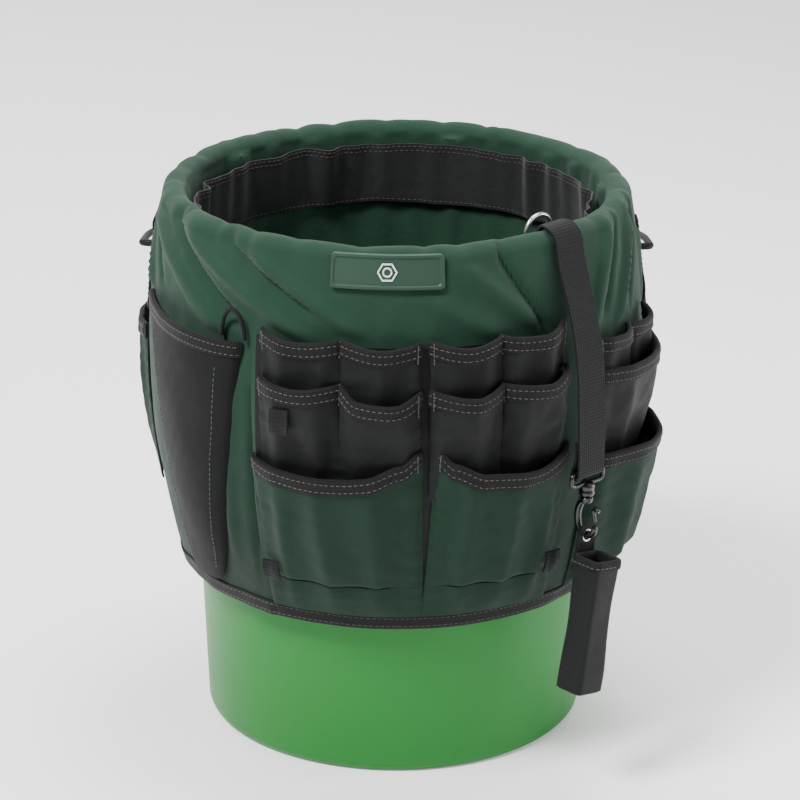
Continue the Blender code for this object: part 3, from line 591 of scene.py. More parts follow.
def stitch_mesh(name, lines, seed, material="thread", length=2.5, pitch=3.8, radius=0.26):
    """Separate raised stitches along lines, each given as (points, normals)."""
    rng = np.random.default_rng(seed)
    profile, sides = STITCH_PROFILE, STITCH_SIDES
    points, faces = [], []
    for line, facing in lines:
        steps = np.linalg.norm(np.diff(line, axis=0), axis=1)
        walked = np.concatenate(([0.0], np.cumsum(steps)))
        places = np.arange(pitch / 2.0, walked[-1] - pitch / 2.0, pitch)
        for place in places:
            place = place + rng.normal(0.0, 0.12)
            here = [np.interp(place, walked, line[:, axis]) for axis in range(3)]
            ahead = [np.interp(place + 0.8, walked, line[:, axis]) for axis in range(3)]
            upward = np.array([np.interp(place, walked, facing[:, axis]) for axis in range(3)])
            along = np.array(ahead) - np.array(here)
            if np.linalg.norm(along) < 1e-6:
                continue
            along /= np.linalg.norm(along)
            upward -= along * upward.dot(along)
            upward /= max(np.linalg.norm(upward), 1e-9)
            across = np.cross(along, upward)
            along = along + across * rng.normal(0.0, 0.05)
            size = length * rng.uniform(0.88, 1.08)
            start = len(points)
            for share, thick in profile:
                middle = np.array(here) + along * share * size + upward * 0.1 * thick
                for side in range(sides):
                    turn = 2.0 * math.pi * side / sides
                    points.append(middle + (across * math.cos(turn) * 1.15
                                            + upward * math.sin(turn)) * radius * thick)
            for ring in range(len(profile) - 1):
                for side in range(sides):
                    after = (side + 1) % sides
                    a, b = start + ring * sides + side, start + ring * sides + after
                    faces.append((a, b, b + sides, a + sides))
            faces.append(tuple(start + side for side in range(sides)))
            last = start + (len(profile) - 1) * sides
            faces.append(tuple(last + side for side in reversed(range(sides))))
    return link_mesh(name, points, faces, material)


def edge_stitches(name, grid, body, seed, depths=(2.3, 7.6), offset=1.9, closed=False,
                  from_top=True, material="thread"):
    """Rows of stitches on a binding, at depths in from the edge, riding on a body."""
    normals = grid_normals(grid, closed)
    lines = []
    for depth in depths:
        line, facing = below_edge(grid, normals, depth, from_top)
        if closed:
            line = np.concatenate((line, line[:1]))
            facing = np.concatenate((facing, facing[:1]))
        lines.append((line + facing * offset, facing))
    trim(stitch_mesh(name, lines, seed, material), body)


def attach(piece, body, *nodes, slot):
    """Ride a piece on a body, and let it stand for its CAD nodes."""
    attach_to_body(piece, body)
    if nodes:
        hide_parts(*nodes)


def trim(piece, body, *nodes):
    """Attach a tape or a row of stitches."""
    attach(piece, body, *nodes, slot="binding_tape")


def declare_cloth(grid, closed=False):
    """Work out the lengths of a grid's rows, which are not kept."""
    rows = np.linalg.norm(np.diff(grid, axis=1), axis=2).sum(axis=1)
    if closed:
        rows = rows + np.linalg.norm(grid[:, 0] - grid[:, -1], axis=1)


# ---------------------------------------------------------------- folds and wrinkles

WAVE_COUNT = 7


def waves(first, second, size, seed):
    """Smooth random relief between about -1 and 1 over two coordinates in millimetres."""
    rng = np.random.default_rng(seed)
    total = np.zeros(np.broadcast(first, second).shape)
    for _ in range(WAVE_COUNT):
        turn = rng.uniform(0.0, math.pi)
        length = size * rng.uniform(0.6, 1.7)
        total = total + np.sin(2.0 * math.pi * (first * math.cos(turn) + second * math.sin(turn))
                               / length + rng.uniform(0.0, 6.28))
    return total / math.sqrt(WAVE_COUNT * 2.0)


def ring_waves(phi, height, size, seed, count=WAVE_COUNT):
    """Smooth random relief like waves, which closes round the pail."""
    rng = np.random.default_rng(seed)
    total = np.zeros(np.broadcast(phi, height).shape)
    for _ in range(count):
        length = size * rng.uniform(0.6, 1.7)
        slant = rng.uniform(-0.9, 0.9)
        turns = max(1, round(2.0 * math.pi * 150.0 * math.cos(slant) / length))
        total = total + np.sin(turns * np.radians(phi)
                               + 2.0 * math.pi * height * math.sin(slant) / length
                               + rng.uniform(0.0, 6.28))
    return total / math.sqrt(count * 2.0)


def ridge(phi, height, start, end, width, amount):
    """A soft fold along a line from start to end, both (phi, height)."""
    reach = 165.0 * math.pi / 180.0
    along = np.array([(end[0] - start[0]) * reach, end[1] - start[1]])
    length = np.linalg.norm(along)
    along = along / length
    x = (phi - start[0]) * reach
    y = height - start[1]
    share = (x * along[0] + y * along[1]) / length
    off = x * along[1] - y * along[0]
    fade = np.clip(np.minimum(share + 0.15, 1.15 - share) / 0.3, 0.0, 1.0)
    fade = fade * fade * (3.0 - 2.0 * fade)
    return amount * np.exp(-(off / width) ** 2) * fade


def rim_gathers(phi):
    """Sharp creases where the gathered rim puckers, from 0 to 1, at uneven spacing."""
    rng = np.random.default_rng(5)
    total = np.zeros(np.shape(phi))
    angle = 0.0
    while angle < 360.0:
        angle += rng.uniform(9.0, 17.0)
        off = (phi - angle + 180.0) % 360.0 - 180.0
        width = rng.uniform(1.6, 3.4)
        total = total + rng.uniform(0.35, 1.0) * np.exp(-np.abs(off / width) ** 1.3)
    return total


# start and end as (phi, height), then the fold's width and how far it stands
SKIRT_FOLDS = (
    ((-78.0, 368.0), (-44.0, 316.0), 4.875, 7.14),
    ((-68.0, 374.0), (-38.0, 322.0), 3.0, -5.78),
    ((-56.0, 368.0), (-20.0, 320.0), 4.5, 5.78),
    ((-46.0, 374.0), (-18.0, 334.0), 3.0, -4.08),
    ((-89.0, 362.0), (-78.0, 316.0), 2.625, 5.1),
    ((-84.0, 368.0), (-70.0, 326.0), 2.25, -4.42),
    ((-34.0, 366.0), (-8.0, 326.0), 5.25, 3.74),
    ((4.0, 352.0), (24.0, 322.0), 6.0, 2.72),
    ((14.0, 370.0), (33.0, 326.0), 5.25, 4.42),
    ((24.0, 374.0), (36.0, 318.0), 2.625, -4.76),
    ((60.0, 370.0), (50.0, 312.0), 3.75, 6.12),
    ((66.0, 374.0), (56.0, 318.0), 2.25, -4.76),
    ((74.0, 368.0), (61.0, 308.0), 3.75, 5.44),
    ((80.0, 372.0), (70.0, 312.0), 2.25, -4.42),
    ((82.0, 352.0), (87.0, 300.0), 3.0, 3.74),
    ((-33.5, 300.0), (-34.5, 150.0), 2.25, -3.06),
    ((-38.0, 290.0), (-42.0, 160.0), 4.5, 3.06),
    ((112.0, 368.0), (128.0, 300.0), 4.5, 5.78),
    ((140.0, 370.0), (158.0, 300.0), 5.25, 5.44),
    ((150.0, 374.0), (164.0, 306.0), 3.0, -4.42),
    ((176.0, 368.0), (166.0, 296.0), 4.5, -4.76),
    ((204.0, 370.0), (190.0, 300.0), 5.25, 5.78),
    ((216.0, 374.0), (204.0, 306.0), 3.0, -4.42),
    ((232.0, 370.0), (246.0, 300.0), 4.5, 5.44),
    ((256.0, 368.0), (250.0, 300.0), 3.0, -4.42),
)


def skirt_relief(phi, height):
    """How far the outer layer stands off its plain shape."""
    wrapped = (phi + 180.0) % 360.0 - 180.0
    relief = 1.1 * ring_waves(wrapped, height, 80.0, 11)
    relief = relief + 0.35 * ring_waves(wrapped, height, 28.0, 12)
    for start, end, width, amount in SKIRT_FOLDS:
        middle = (start[0] + end[0]) / 2.0
        local = (phi - middle + 180.0) % 360.0 - 180.0 + middle
        relief = relief + ridge(local, height, start, end, width, amount)
    near_rim = np.exp(-np.clip(374.0 - height, 0.0, None) / 16.0)
    relief = relief - 2.4 * rim_gathers(phi) * near_rim
    # calm under the patch, round the handle slits and behind the front pockets
    under_patch = np.exp(-(np.abs(wrapped - PATCH_ANGLE) / 15.0) ** 6) * (height > 348.0)
    slit_off = np.abs(np.abs(wrapped) - 90.0)
    by_slit = np.exp(-(slit_off / 7.0) ** 2) * (height > SLIT_BOTTOM - 20.0)
    under_groups = 0.75 * (height < 312.0) * (np.abs(wrapped - 4.0) < 37.0)
    calm = (1.0 - 0.9 * under_patch) * (1.0 - 0.8 * by_slit) * (1.0 - under_groups)
    return np.clip(relief * calm, -6.0, 4.5) - 0.6 * under_patch


def skirt_outside(phi, height):
    """The radius of the outer layer with its folds."""
    return skirt_radius(height) + skirt_relief(phi, height)


def skirt_rows():
    """The skirt's rows from the outer hem, over the lip, to the inner hem, and their heights."""
    angles = np.arange(-180.0, 180.0, 1.0)
    outer = np.concatenate((np.linspace(HEM, SLIT_BOTTOM, 40),
                            np.linspace(SLIT_BOTTOM, SLIT_TOP, 25)[1:],
                            np.linspace(SLIT_TOP, FOLD_START, 8)[1:]))
    rows = [polar(angles, skirt_outside(angles, height) - SKIRT_INSET, height)
            for height in outer]
    gathers = rim_gathers(angles)
    outer_edge = skirt_outside(angles, FOLD_START) - SKIRT_INSET
    inner_edge = lining_radius(FOLD_START) - SKIRT_INSET - 0.6 * gathers
    middle, reach = (outer_edge + inner_edge) / 2.0, (outer_edge - inner_edge) / 2.0
    rise = FOLD_RISE - 1.0 - 2.2 * gathers + ring_waves(angles, 0.0, 130.0, 21)
    for turn in np.radians(np.linspace(0.0, 180.0, 15)[1:-1]):
        rows.append(polar(angles, middle + reach * math.cos(turn),
                          FOLD_START + rise * math.sin(turn)))
    pleats = 2.6 * ring_waves(angles, 0.0, 38.0, 31) - 0.6 * gathers
    for height in np.concatenate((np.linspace(FOLD_START, 322.0, 16),
                                  np.linspace(322.0, INNER_HEM, 26)[1:])):
        fade = 0.35 + 0.65 * np.clip((height - 250.0) / 110.0, 0.0, 1.0)
        drift = 0.9 * ring_waves(angles, height, 60.0, 41)
        stand = np.clip(pleats * fade + drift, -5.5, 0.4)
        rows.append(polar(angles, lining_radius(height) - SKIRT_INSET + stand, height))
    return np.array(rows), outer


def build_skirt():
    """The skirt, over the lip and down inside, with its bindings and stitches."""
    grid, outer = skirt_rows()
    keep = np.ones((len(grid) - 1, grid.shape[1]), bool)
    for slit in (90, 270):  # columns of 1 degree, counted from the back
        for row in range(len(outer) - 1):
            if SLIT_BOTTOM - 0.5 <= outer[row] and outer[row + 1] <= SLIT_TOP + 0.5:
                keep[row, slit - 2:slit + 2] = False
    skirt = make_sheet("skirt_cloth", grid, SKIRT_CLOTH, "green", closed=True, keep=keep)
    attach(skirt, "root", "skirt", "rim_fold", "lining", slot="green_cloth")
    declare_cloth(grid, closed=True)
    outer_grid = grid[:len(outer)]
    hem = make_binding("skirt_hem_tape", outer_grid, closed=True, from_top=False, width=1.15)
    trim(hem, "root", "skirt_hem_binding")
    edge_stitches("skirt_hem_stitches", outer_grid, "root", 3, depths=(2.4, 8.8), closed=True,
                  from_top=False)
    inner_grid = grid[-30:]
    trim(make_binding("lining_hem_tape", inner_grid, closed=True), "root",
         "lining_hem_binding")
    edge_stitches("lining_hem_stitches", inner_grid, "root", 4, closed=True,
                  material="red_thread")
    build_slit_binding("left", -90.0)
    build_slit_binding("right", 90.0)


def build_slit_binding(side_name, middle):
    """Tape round a handle slit, as a rounded frame that lies on the skirt."""
    half_phi, corner = 2.6, 5.0
    half_height = (SLIT_TOP - SLIT_BOTTOM) / 2.0 + 1.0
    centre = (SLIT_TOP + SLIT_BOTTOM) / 2.0
    reach = float(skirt_radius(310.0)) * math.pi / 180.0
    # (out from the slit's edge, up from the skirt)
    section = ((-1.6, 0.3), (-1.9, 1.3), (-1.0, 1.7), (2.6, 1.7), (3.6, 1.5), (3.9, 0.9),
               (3.9, 0.4))

    def place(x, y, nx, ny, out, lift):
        phi = middle + (x + nx * out) / reach
        height = centre + y + ny * out
        return polar(phi, skirt_outside(phi, height) + lift, height)

    outline = filled_in(rounded_outline(half_phi * reach, half_height, corner, 7), 5.0)
    sections = [[place(*point, *pair) for pair in section] for point in outline]
    trim(make_loft(f"slit_tape_{side_name}", sections, "binding", closed_path=True), "root",
         f"slit_binding_{side_name}")
    out = 1.4
    line = np.array([place(*point, out, 1.75) for point in outline])
    normals = np.array([radial(middle + (x + nx * out) / reach) for x, _, nx, _ in outline])
    trim(stitch_mesh(f"slit_stitches_{side_name}", [(line, normals)], 8), "root")


def build_inner_band():
    """The gathered black pocket band inside the mouth, in three pockets."""
    angles = RING_ANGLE - np.arange(0.0, 360.0, 0.75)
    heights = np.linspace(323.0, 366.0, 22)
    share = ((angles - RING_ANGLE) * 3.0 / 360.0) % 1.0
    arch = np.sin(math.pi * share)
    pleat = 1.5 * ring_waves(angles, 0.0, 30.0, 51, count=9) + ring_waves(angles, 0.0, 62.0, 52)
    calm = 1.0 - np.exp(-(((angles - RING_ANGLE + 180.0) % 360.0 - 180.0) / 9.0) ** 2)
    rows = []
    for height in heights:
        lift = (height - heights[0]) / (heights[-1] - heights[0])
        swell = 5.0 * arch * lift ** 0.7
        fold = pleat * (0.9 + 1.3 * lift) * calm
        stand = np.clip(swell + fold, -0.2, None) + 3.2 * calm + 0.6
        rows.append(polar(angles, lining_radius(height) - 2.4 - stand,
                          height + 0.6 * ring_waves(angles, height, 60.0, 53)))
    grid = np.array(rows)
    band = make_sheet("inner_band_cloth", grid, 1.1, "band", closed=True)
    attach(band, "root", "inner_pocket_band", slot="black_cloth")
    declare_cloth(grid, closed=True)
    for edge, depths, seed in (("top", (2.0, 5.0), 14), ("foot", (2.0,), 15)):
        edge_stitches(f"inner_band_{edge}_stitches", grid, "root", seed, depths=depths,
                      offset=0.6, closed=True, from_top=edge == "top", material="red_thread")


# ---------------------------------------------------------------- pockets

def interpolate(table, value):
    """Read a short list of (position, amount) pairs."""
    return np.interp(value, [pair[0] for pair in table], [pair[1] for pair in table])


def eased(table, value):
    """Read a short list like interpolate, without kinks at its positions."""
    places = np.array([pair[0] for pair in table])
    share = np.interp(value, places, np.arange(len(places)))
    whole = np.clip(np.floor(share), 0, len(places) - 2)
    part = share - whole
    smooth = whole + part * part * (3.0 - 2.0 * part)
    return np.interp(smooth, np.arange(len(places)), [pair[1] for pair in table])


# how far each layer of pockets starts off the skirt: on the backing panel, then without it
TIER_ONE = CLOTH_GAP + 1.0 + CLOTH_GAP
TIER_TWO = TIER_ONE + POCKET_CLOTH + CLOTH_GAP
TIER_THREE = TIER_TWO + POCKET_CLOTH + CLOTH_GAP
FIRST = CLOTH_GAP
SECOND = FIRST + POCKET_CLOTH + CLOTH_GAP
THIRD = SECOND + POCKET_CLOTH + CLOTH_GAP

# lifts, (height, distance off the skirt)
UPPER_LIFT = ((264.0, TIER_ONE),)
MIDDLE_LIFT = ((252.0, TIER_ONE), (262.0, TIER_TWO))
LOWER_LIFT = ((203.0, TIER_ONE), (213.0, TIER_TWO), (250.0, TIER_THREE))
SINGLE_LIFT = ((168.0, FIRST),)
REAR_LOWER_LIFT = ((200.0, FIRST), (211.0, SECOND))

# swells, (height, how far the pocket stands out there)
UPPER_SWELL = ((264.0, 0.0), (280.0, 4.5), (318.0, 9.5))
MIDDLE_SWELL = ((214.0, 0.0), (235.0, 4.0), (262.0, 9.5), (288.0, 13.5))
LOWER_SWELL = ((125.0, 0.3), (131.0, 2.6), (140.0, 4.6), (148.6, 4.6), (149.6, 2.6),
               (150.6, 6.0), (153.0, 7.4), (165.0, 9.6), (200.0, 13.2), (235.0, 12.0))
REAR_UPPER_SWELL = ((212.0, 0.0), (235.0, 4.0), (284.0, 9.5))
REAR_LOWER_SWELL = ((126.0, 0.3), (150.0, 5.0), (200.0, 13.0), (235.0, 12.0))
SIDE_LEFT_SWELL = ((168.0, 0.0), (200.0, 4.5), (240.0, 7.0), (279.0, 7.0))
SIDE_RIGHT_SWELL = ((168.0, 0.0), (200.0, 7.0), (240.0, 11.0), (284.0, 11.0))

# rims, (share of the row's width, how far the rim is raised)
LOWER_LEFT_RIM = ((0.0, 1.0), (0.12, -1.0), (0.4, -2.0), (0.7, -1.0), (0.9, 6.0), (1.0, 13.0))
LOWER_RIGHT_RIM = ((0.0, 13.0), (0.1, 6.0), (0.3, -1.0), (0.7, -2.0), (0.9, 1.0), (1.0, 5.0))
EVEN_RIM = ((0.0, 1.0), (0.5, 0.0), (1.0, 1.0))

# name, seams at the rim, seams at the foot, bottom, top, lift, swell, rim, colour
POCKETS = (
    ("front_upper_pockets_left", (-30.0, -11.7, 5.4), None, 264.0, 318.0,
     UPPER_LIFT, UPPER_SWELL,
     ((0.0, 5.0), (0.3, 3.0), (0.5, 4.0), (0.75, 2.0), (1.0, 3.0)), "black"),
    ("front_upper_pockets_right", (7.6, 23.4, 39.6), None, 264.0, 318.0,
     UPPER_LIFT, UPPER_SWELL,
     ((0.0, 4.0), (0.25, 2.0), (0.5, 4.0), (0.8, 3.0), (1.0, 6.0)), "black"),
    ("front_middle_pockets_left", (-30.0, -11.7, 5.4), None, 214.0, 288.0,
     MIDDLE_LIFT, MIDDLE_SWELL,
     ((0.0, 4.0), (0.3, 4.0), (0.5, 5.0), (0.62, -2.0), (0.85, -3.0), (1.0, 1.0)), "black"),
    ("front_middle_pockets_right", (7.6, 23.4, 39.6), None, 214.0, 288.0,
     MIDDLE_LIFT, MIDDLE_SWELL,
     ((0.0, 2.0), (0.3, 0.0), (0.5, 3.0), (0.8, 2.0), (1.0, 7.0)), "black"),
    ("front_lower_pocket_left", (-31.6, 5.0), (-30.6, 6.2), 125.0, 235.0,
     LOWER_LIFT, LOWER_SWELL, LOWER_LEFT_RIM, "pocket_green"),
    ("front_lower_pocket_right", (9.6, 40.4), (7.6, 40.0), 125.0, 235.0,
     LOWER_LIFT, LOWER_SWELL, LOWER_RIGHT_RIM, "pocket_green"),
    ("right_upper_pockets", (51.0, 65.0, 80.0), None, 248.0, 302.0,
     SINGLE_LIFT, ((248.0, 0.0), (266.0, 4.0), (302.0, 8.0)), EVEN_RIM, "black"),
    ("right_middle_pocket", (51.0, 83.0), None, 196.0, 281.0,
     ((236.0, FIRST), (247.0, SECOND)),
     ((196.0, 0.0), (225.0, 5.5), (248.0, 9.0), (281.0, 13.5)), EVEN_RIM, "black"),
    ("right_lower_pocket", (50.0, 84.0), None, 125.0, 223.0,
     ((184.0, FIRST), (195.0, SECOND), (240.0, THIRD)),
     ((125.0, 0.6), (131.0, 10.0), (140.0, 16.0), (165.0, 17.0), (223.0, 17.5)), EVEN_RIM,
     "pocket_green"),
    ("rear_upper_pockets_left", (181.5, 197.75, 214.0), None, 212.0, 284.0,
     SINGLE_LIFT, REAR_UPPER_SWELL, EVEN_RIM, "black"),
    ("rear_upper_pockets_right", (146.0, 162.25, 178.5), None, 212.0, 284.0,
     SINGLE_LIFT, REAR_UPPER_SWELL, EVEN_RIM, "black"),
    ("rear_lower_pocket_left", (181.5, 214.0), None, 126.0, 235.0,
     REAR_LOWER_LIFT, REAR_LOWER_SWELL, EVEN_RIM, "pocket_green"),
    ("rear_lower_pocket_right", (146.0, 178.5), None, 126.0, 235.0,
     REAR_LOWER_LIFT, REAR_LOWER_SWELL, EVEN_RIM, "pocket_green"),
    ("side_rear_pocket_left", (245.0, 275.0), None, 168.0, 279.0,
     SINGLE_LIFT, SIDE_LEFT_SWELL, EVEN_RIM, "pocket_green"),
    ("side_rear_pocket_right", (97.0, 132.0), None, 168.0, 284.0,
     SINGLE_LIFT, SIDE_RIGHT_SWELL, EVEN_RIM, "pocket_green"),
)


def pocket_columns(seams, foot_seams, share_up):
    """Each column's angles, its share of its pocket and its share of the whole row."""
    foot_seams = foot_seams or seams
    per_cell = 36 if len(seams) > 2 else 64
    phis, shares, wholes = [], [], []
    for cell, (low, high) in enumerate(zip(seams, seams[1:])):
        foot_low, foot_high = foot_seams[cell], foot_seams[cell + 1]
        for share in np.linspace(0.0, 1.0, per_cell + 1)[(1 if cell else 0):]:
            rim = low + (high - low) * share
            foot = foot_low + (foot_high - foot_low) * share
            phis.append(foot + (rim - foot) * share_up)
            shares.append(share)
            wholes.append((cell + share) / (len(seams) - 1))
    return np.array(phis).T, np.array(shares)[None, :], np.array(wholes)[None, :]


def pocket_grid(seams, foot_seams, bottom, top, lift, swell, rim, seed):
    """The middle surface of a row of pockets, with pleats beside the seams."""
    rng = np.random.default_rng(seed)
    heights = np.unique(np.concatenate((np.linspace(bottom, top, 44),
                                        [pair[0] for pair in swell if bottom < pair[0] < top])))
    share_up = (heights - bottom) / (top - bottom)
    phi, share, whole = pocket_columns(seams, foot_seams, share_up)
    arch = np.clip(np.sin(math.pi * share), 0.0, 1.0) ** 0.72
    height = heights[:, None] * np.ones_like(phi)
    depth = interpolate(swell, height)
    calm = np.clip(depth / 6.0, 0.1, 1.0)
    x = phi * 2.95
    edge = np.minimum(share, 1.0 - share)
    cells = len(seams) - 1
    cell = np.minimum((whole * cells).astype(int), cells - 1)
    folds = rng.uniform(1.5, 2.3, cells)[cell] * (1.0 if cells > 1 else 1.7)
    offset = rng.uniform(0.0, 1.0, cells)[cell] + 0.05 * waves(x, height, 90.0, seed + 4)
    lean = 0.05 * waves(x, height, 70.0, seed + 6)
    tubes = 1.0 - 2.0 * np.sqrt(np.sin(math.pi * (share * folds + offset + lean)) ** 2 + 0.05)
    to_rim = eased(((0.7, 0.0), (1.0, 1.0)), share_up[:, None])
    amount = (2.1 if cells > 1 else 2.6) * (1.0 - 0.8 * to_rim)
    fade = np.clip(edge / 0.12, 0.0, 1.0)
    wrinkle = 0.6 * waves(x, height * 0.35, 34.0, seed)
    wrinkle = wrinkle + 0.35 * waves(x, height, 17.0, seed + 1)
    ripple = np.sin(height * 0.6 + 3.0 * waves(x, height, 60.0, seed + 2))
    pucker = 0.5 * np.exp(-edge / 0.1) * ripple
    radius = (skirt_radius(height) + interpolate(lift, height) + POCKET_CLOTH / 2.0 + 0.9
              + depth * arch + ((wrinkle + amount * tubes) * fade + pucker) * calm)
    risen = np.clip(share_up[:, None] * 1.6 - 0.6, 0.0, 1.0)
    drop = 1.6 * arch * (1.0 + 0.5 * waves(x, 0.0, 45.0, seed + 3)) * risen
    height = height - drop + eased(rim, whole) * risen ** 1.5
    grid = polar(phi, radius, height)
    if cells > 1:
        return grid
    flange = []
    for column, side in ((0, -1.0), (-1, 1.0)):
        flange.append(polar(phi[:, column] + side * 0.8, skirt_radius(height[:, column])
                            + lift[0][1] + 0.6, height[:, column])[:, None])
    return np.concatenate((flange[0], grid, flange[1]), axis=1)


def build_pockets():
    """Every outside pocket with its binding, stitches and tacks."""
    for index, (name, *shape, colour) in enumerate(POCKETS):
        grid = pocket_grid(*shape, 100 + 7 * index)
        cells = len(shape[0]) - 1
        cloth = make_sheet(f"{name}_cloth", grid, POCKET_CLOTH, colour)
        slot = "green_cloth" if colour == "pocket_green" else "black_cloth"
        attach(cloth, "root", name, slot=slot)
        declare_cloth(grid)
        trim(make_binding(f"{name}_tape", grid), "root", f"{name}_binding")
        edge_stitches(f"{name}_stitches", grid, "root", 200 + index)
        build_tacks(name, grid, cells, 300 + index)


def build_tacks(name, grid, cells, seed):
    """Short pale bar tacks where the seams meet the rim."""
    normals = grid_normals(grid)
    per_cell = (grid.shape[1] - 1) // cells
    lines = []
    for cell in range(cells + 1):
        column = min(max(cell * per_cell, 2), grid.shape[1] - 3)
        points, facing = [], []
        for depth in np.linspace(-0.5, 14.0, 12):
            line, normal = below_edge(grid, normals, depth)
            points.append(line[column] + normal[column] * 2.0)
            facing.append(normal[column])
        lines.append((np.array(points), np.array(facing)))
    trim(stitch_mesh(f"{name}_tacks", lines, seed, "tack", length=1.9, pitch=2.1, radius=0.3),
         "root")


def build_backing():
    """The black panel behind the front group."""
    phi = np.linspace(-32.0, 40.5, 90)[None, :]
    height = np.linspace(125.0, 317.0, 60)[:, None]
    radius = skirt_radius(height) + 1.4 + 0.25 * waves(phi * 2.95, height, 40.0, 61)
    grid = polar(phi, radius, height)
    panel = make_sheet("front_backing_cloth", grid, 0.9, "black")
    attach(panel, "root", "front_backing_panel", slot="black_cloth")
    declare_cloth(grid)


# ---------------------------------------------------------------- patch, holster and tabs

PATCH_HALF_WIDTH = 36.0
PATCH_HALF_HEIGHT = 11.2
PATCH_MIDDLE = 365.5


def on_patch(points, lift):
    """Points (x, y) from the patch's middle, at a lift off the skirt."""
    reach = float(skirt_radius(PATCH_MIDDLE)) * math.pi / 180.0
    height = PATCH_MIDDLE + points[:, 1]
    return polar(PATCH_ANGLE + points[:, 0] / reach, skirt_radius(height) + lift, height)


def build_patch_line(name, points, inner_share):
    """A raised closed line on the patch, from its outer points to a share of them."""
    section = ((1.0, 1.5), (1.0, 2.3), (inner_share, 2.3), (inner_share, 1.5))
    sections = [[on_patch(np.array([point]) * share, lift)[0] for share, lift in section]
                for point in points]
    attach(make_loft(name, sections, "emblem", closed_path=True), "root", slot="patch_rubber")


def build_patch():
    """A raised rubber patch with a frame and a plain nut outline."""
    outline = rounded_outline(PATCH_HALF_WIDTH, PATCH_HALF_HEIGHT, 2.6, 6)[:, :2]
    shape = filled_in(outline, 4.0)
    half = np.array([PATCH_HALF_WIDTH, PATCH_HALF_HEIGHT])
    loops = [on_patch(shape * scale, 0.3) for scale in (0.25, 0.5, 0.75, 0.99)]
    for inset, lift in ((0.0, 0.6), (0.0, 2.0), (0.5, 2.6), (2.0, 2.6), (2.7, 1.7)):
        shrink = (half - inset) / half
        loops.append(on_patch(shape * shrink, lift))
    loops += [on_patch(shape * shrink * scale, 1.7) for scale in (0.75, 0.5, 0.25)]
    poles = [on_patch(np.zeros((1, 2)), lift) for lift in (1.7, 0.3)]
    points = np.concatenate(loops + poles)
    count = len(shape)
    last = (len(loops) - 1) * count
    top, foot = last + count, last + count + 1
    faces = []
    for index in range(count):
        after = (index + 1) % count
        for ring in range(0, last, count):
            faces.append((ring + index, ring + after, ring + after + count,
                          ring + index + count))
        faces.append((last + index, last + after, top))
        faces.append((after, index, foot))
    attach(link_mesh("rim_patch", points, faces, "patch", sharp=35.0), "root", "label_patch",
           slot="patch_rubber")
    corners = [6.4 * np.array([math.cos(turn), math.sin(turn)])
               for turn in np.radians(np.arange(0.0, 420.0, 60.0))]
    nut = [first + (second - first) * share for first, second in zip(corners, corners[1:])
           for share in (0.0, 0.34, 0.67)]
    build_patch_line("patch_nut_outline", nut, 0.84)
    hole = [3.1 * np.array([math.cos(turn), math.sin(turn)])
            for turn in np.radians(np.arange(0.0, 360.0, 20.0))]
    build_patch_line("patch_nut_hole", hole, 2.2 / 3.1)


def holster_grid():
    """The holster's middle surface, stiff, tapered and nearly flat in front."""
    across = np.linspace(0.0, 1.0, 61)[None, :]
    up = np.linspace(0.0, 1.0, 61)[:, None]
    left = -63.0 - 13.0 * up ** 2
    right = -52.0 + 16.0 * up ** 0.45
    phi = left + (right - left) * across
    mouth = 313.0 - 4.0 * across
    height = 126.0 + (mouth - 126.0) * up
    arch = np.clip(np.sin(math.pi * across), 0.0, 1.0) ** 0.5
    depth = 13.0 * arch * np.clip(up * 3.0, 0.0, 1.0) ** 0.7 * (0.3 + 0.75 * across)
    relief = 0.5 * waves(phi * 2.9, height, 60.0, 71) + 0.2 * waves(phi * 2.9, height, 20.0, 72)
    return polar(phi, skirt_radius(height) + 1.5 + depth + relief * (0.2 + 0.8 * arch), height)


def build_holster():
    """The holster with its bound mouth, edge stitching and cord loop."""
    grid = holster_grid()
    cloth = make_sheet("holster_cloth", grid, 1.7, "holster")
    attach(cloth, "root", "holster", slot="black_cloth")
    declare_cloth(grid)
    trim(make_binding("holster_tape", grid), "root", "holster_binding")
    edge_stitches("holster_stitches", grid, "root", 81)
    normals = grid_normals(grid)
    rows = slice(4, 56)
    lines = [(grid[rows, column] + normals[rows, column], normals[rows, column])
             for column in (7, 53)]
    trim(stitch_mesh("holster_edge_stitches", lines, 82, "tack"), "root")
    phi, foot = -38.0, 312.0
    path = [polar(phi - 3.2 * math.cos(turn), skirt_radius(foot) + 3.4,
                  foot + 19.0 * math.sin(turn))
            for turn in np.radians(np.linspace(0.0, 180.0, 25))]
    trim(make_bar("holster_cord_loop", path, 1.5, "binding", radial(phi)), "root",
         "holster_loop")


def build_tabs():
    """Short folded webbing tabs in the seams."""
    # name, phi from and to, height from and to, distance off the skirt
    tabs = (
        ("tab_front_middle", -25.5, -21.5, 260.0, 276.0, 16.6),
        ("tab_front_lower_left", -30.5, -26.5, 150.0, 163.0, 10.5),
        ("tab_front_lower_right", 36.0, 40.0, 150.0, 165.0, 11.0),
    )
    for name, low, high, bottom, top, stand in tabs:
        phi = np.linspace(low, high, 12)[None, :]
        height = np.linspace(bottom, top, 16)[:, None]
        share = (height - bottom) / (top - bottom)
        curl = 1.2 * np.sin(math.pi * share) + 0.3 * np.sin(phi * 2.0)
        grid = polar(phi, skirt_radius(height) + stand + curl, height)
        trim(make_sheet(f"{name}_tape", grid, 1.6, "webbing"), "root", name)


# ---------------------------------------------------------------- pail and bail

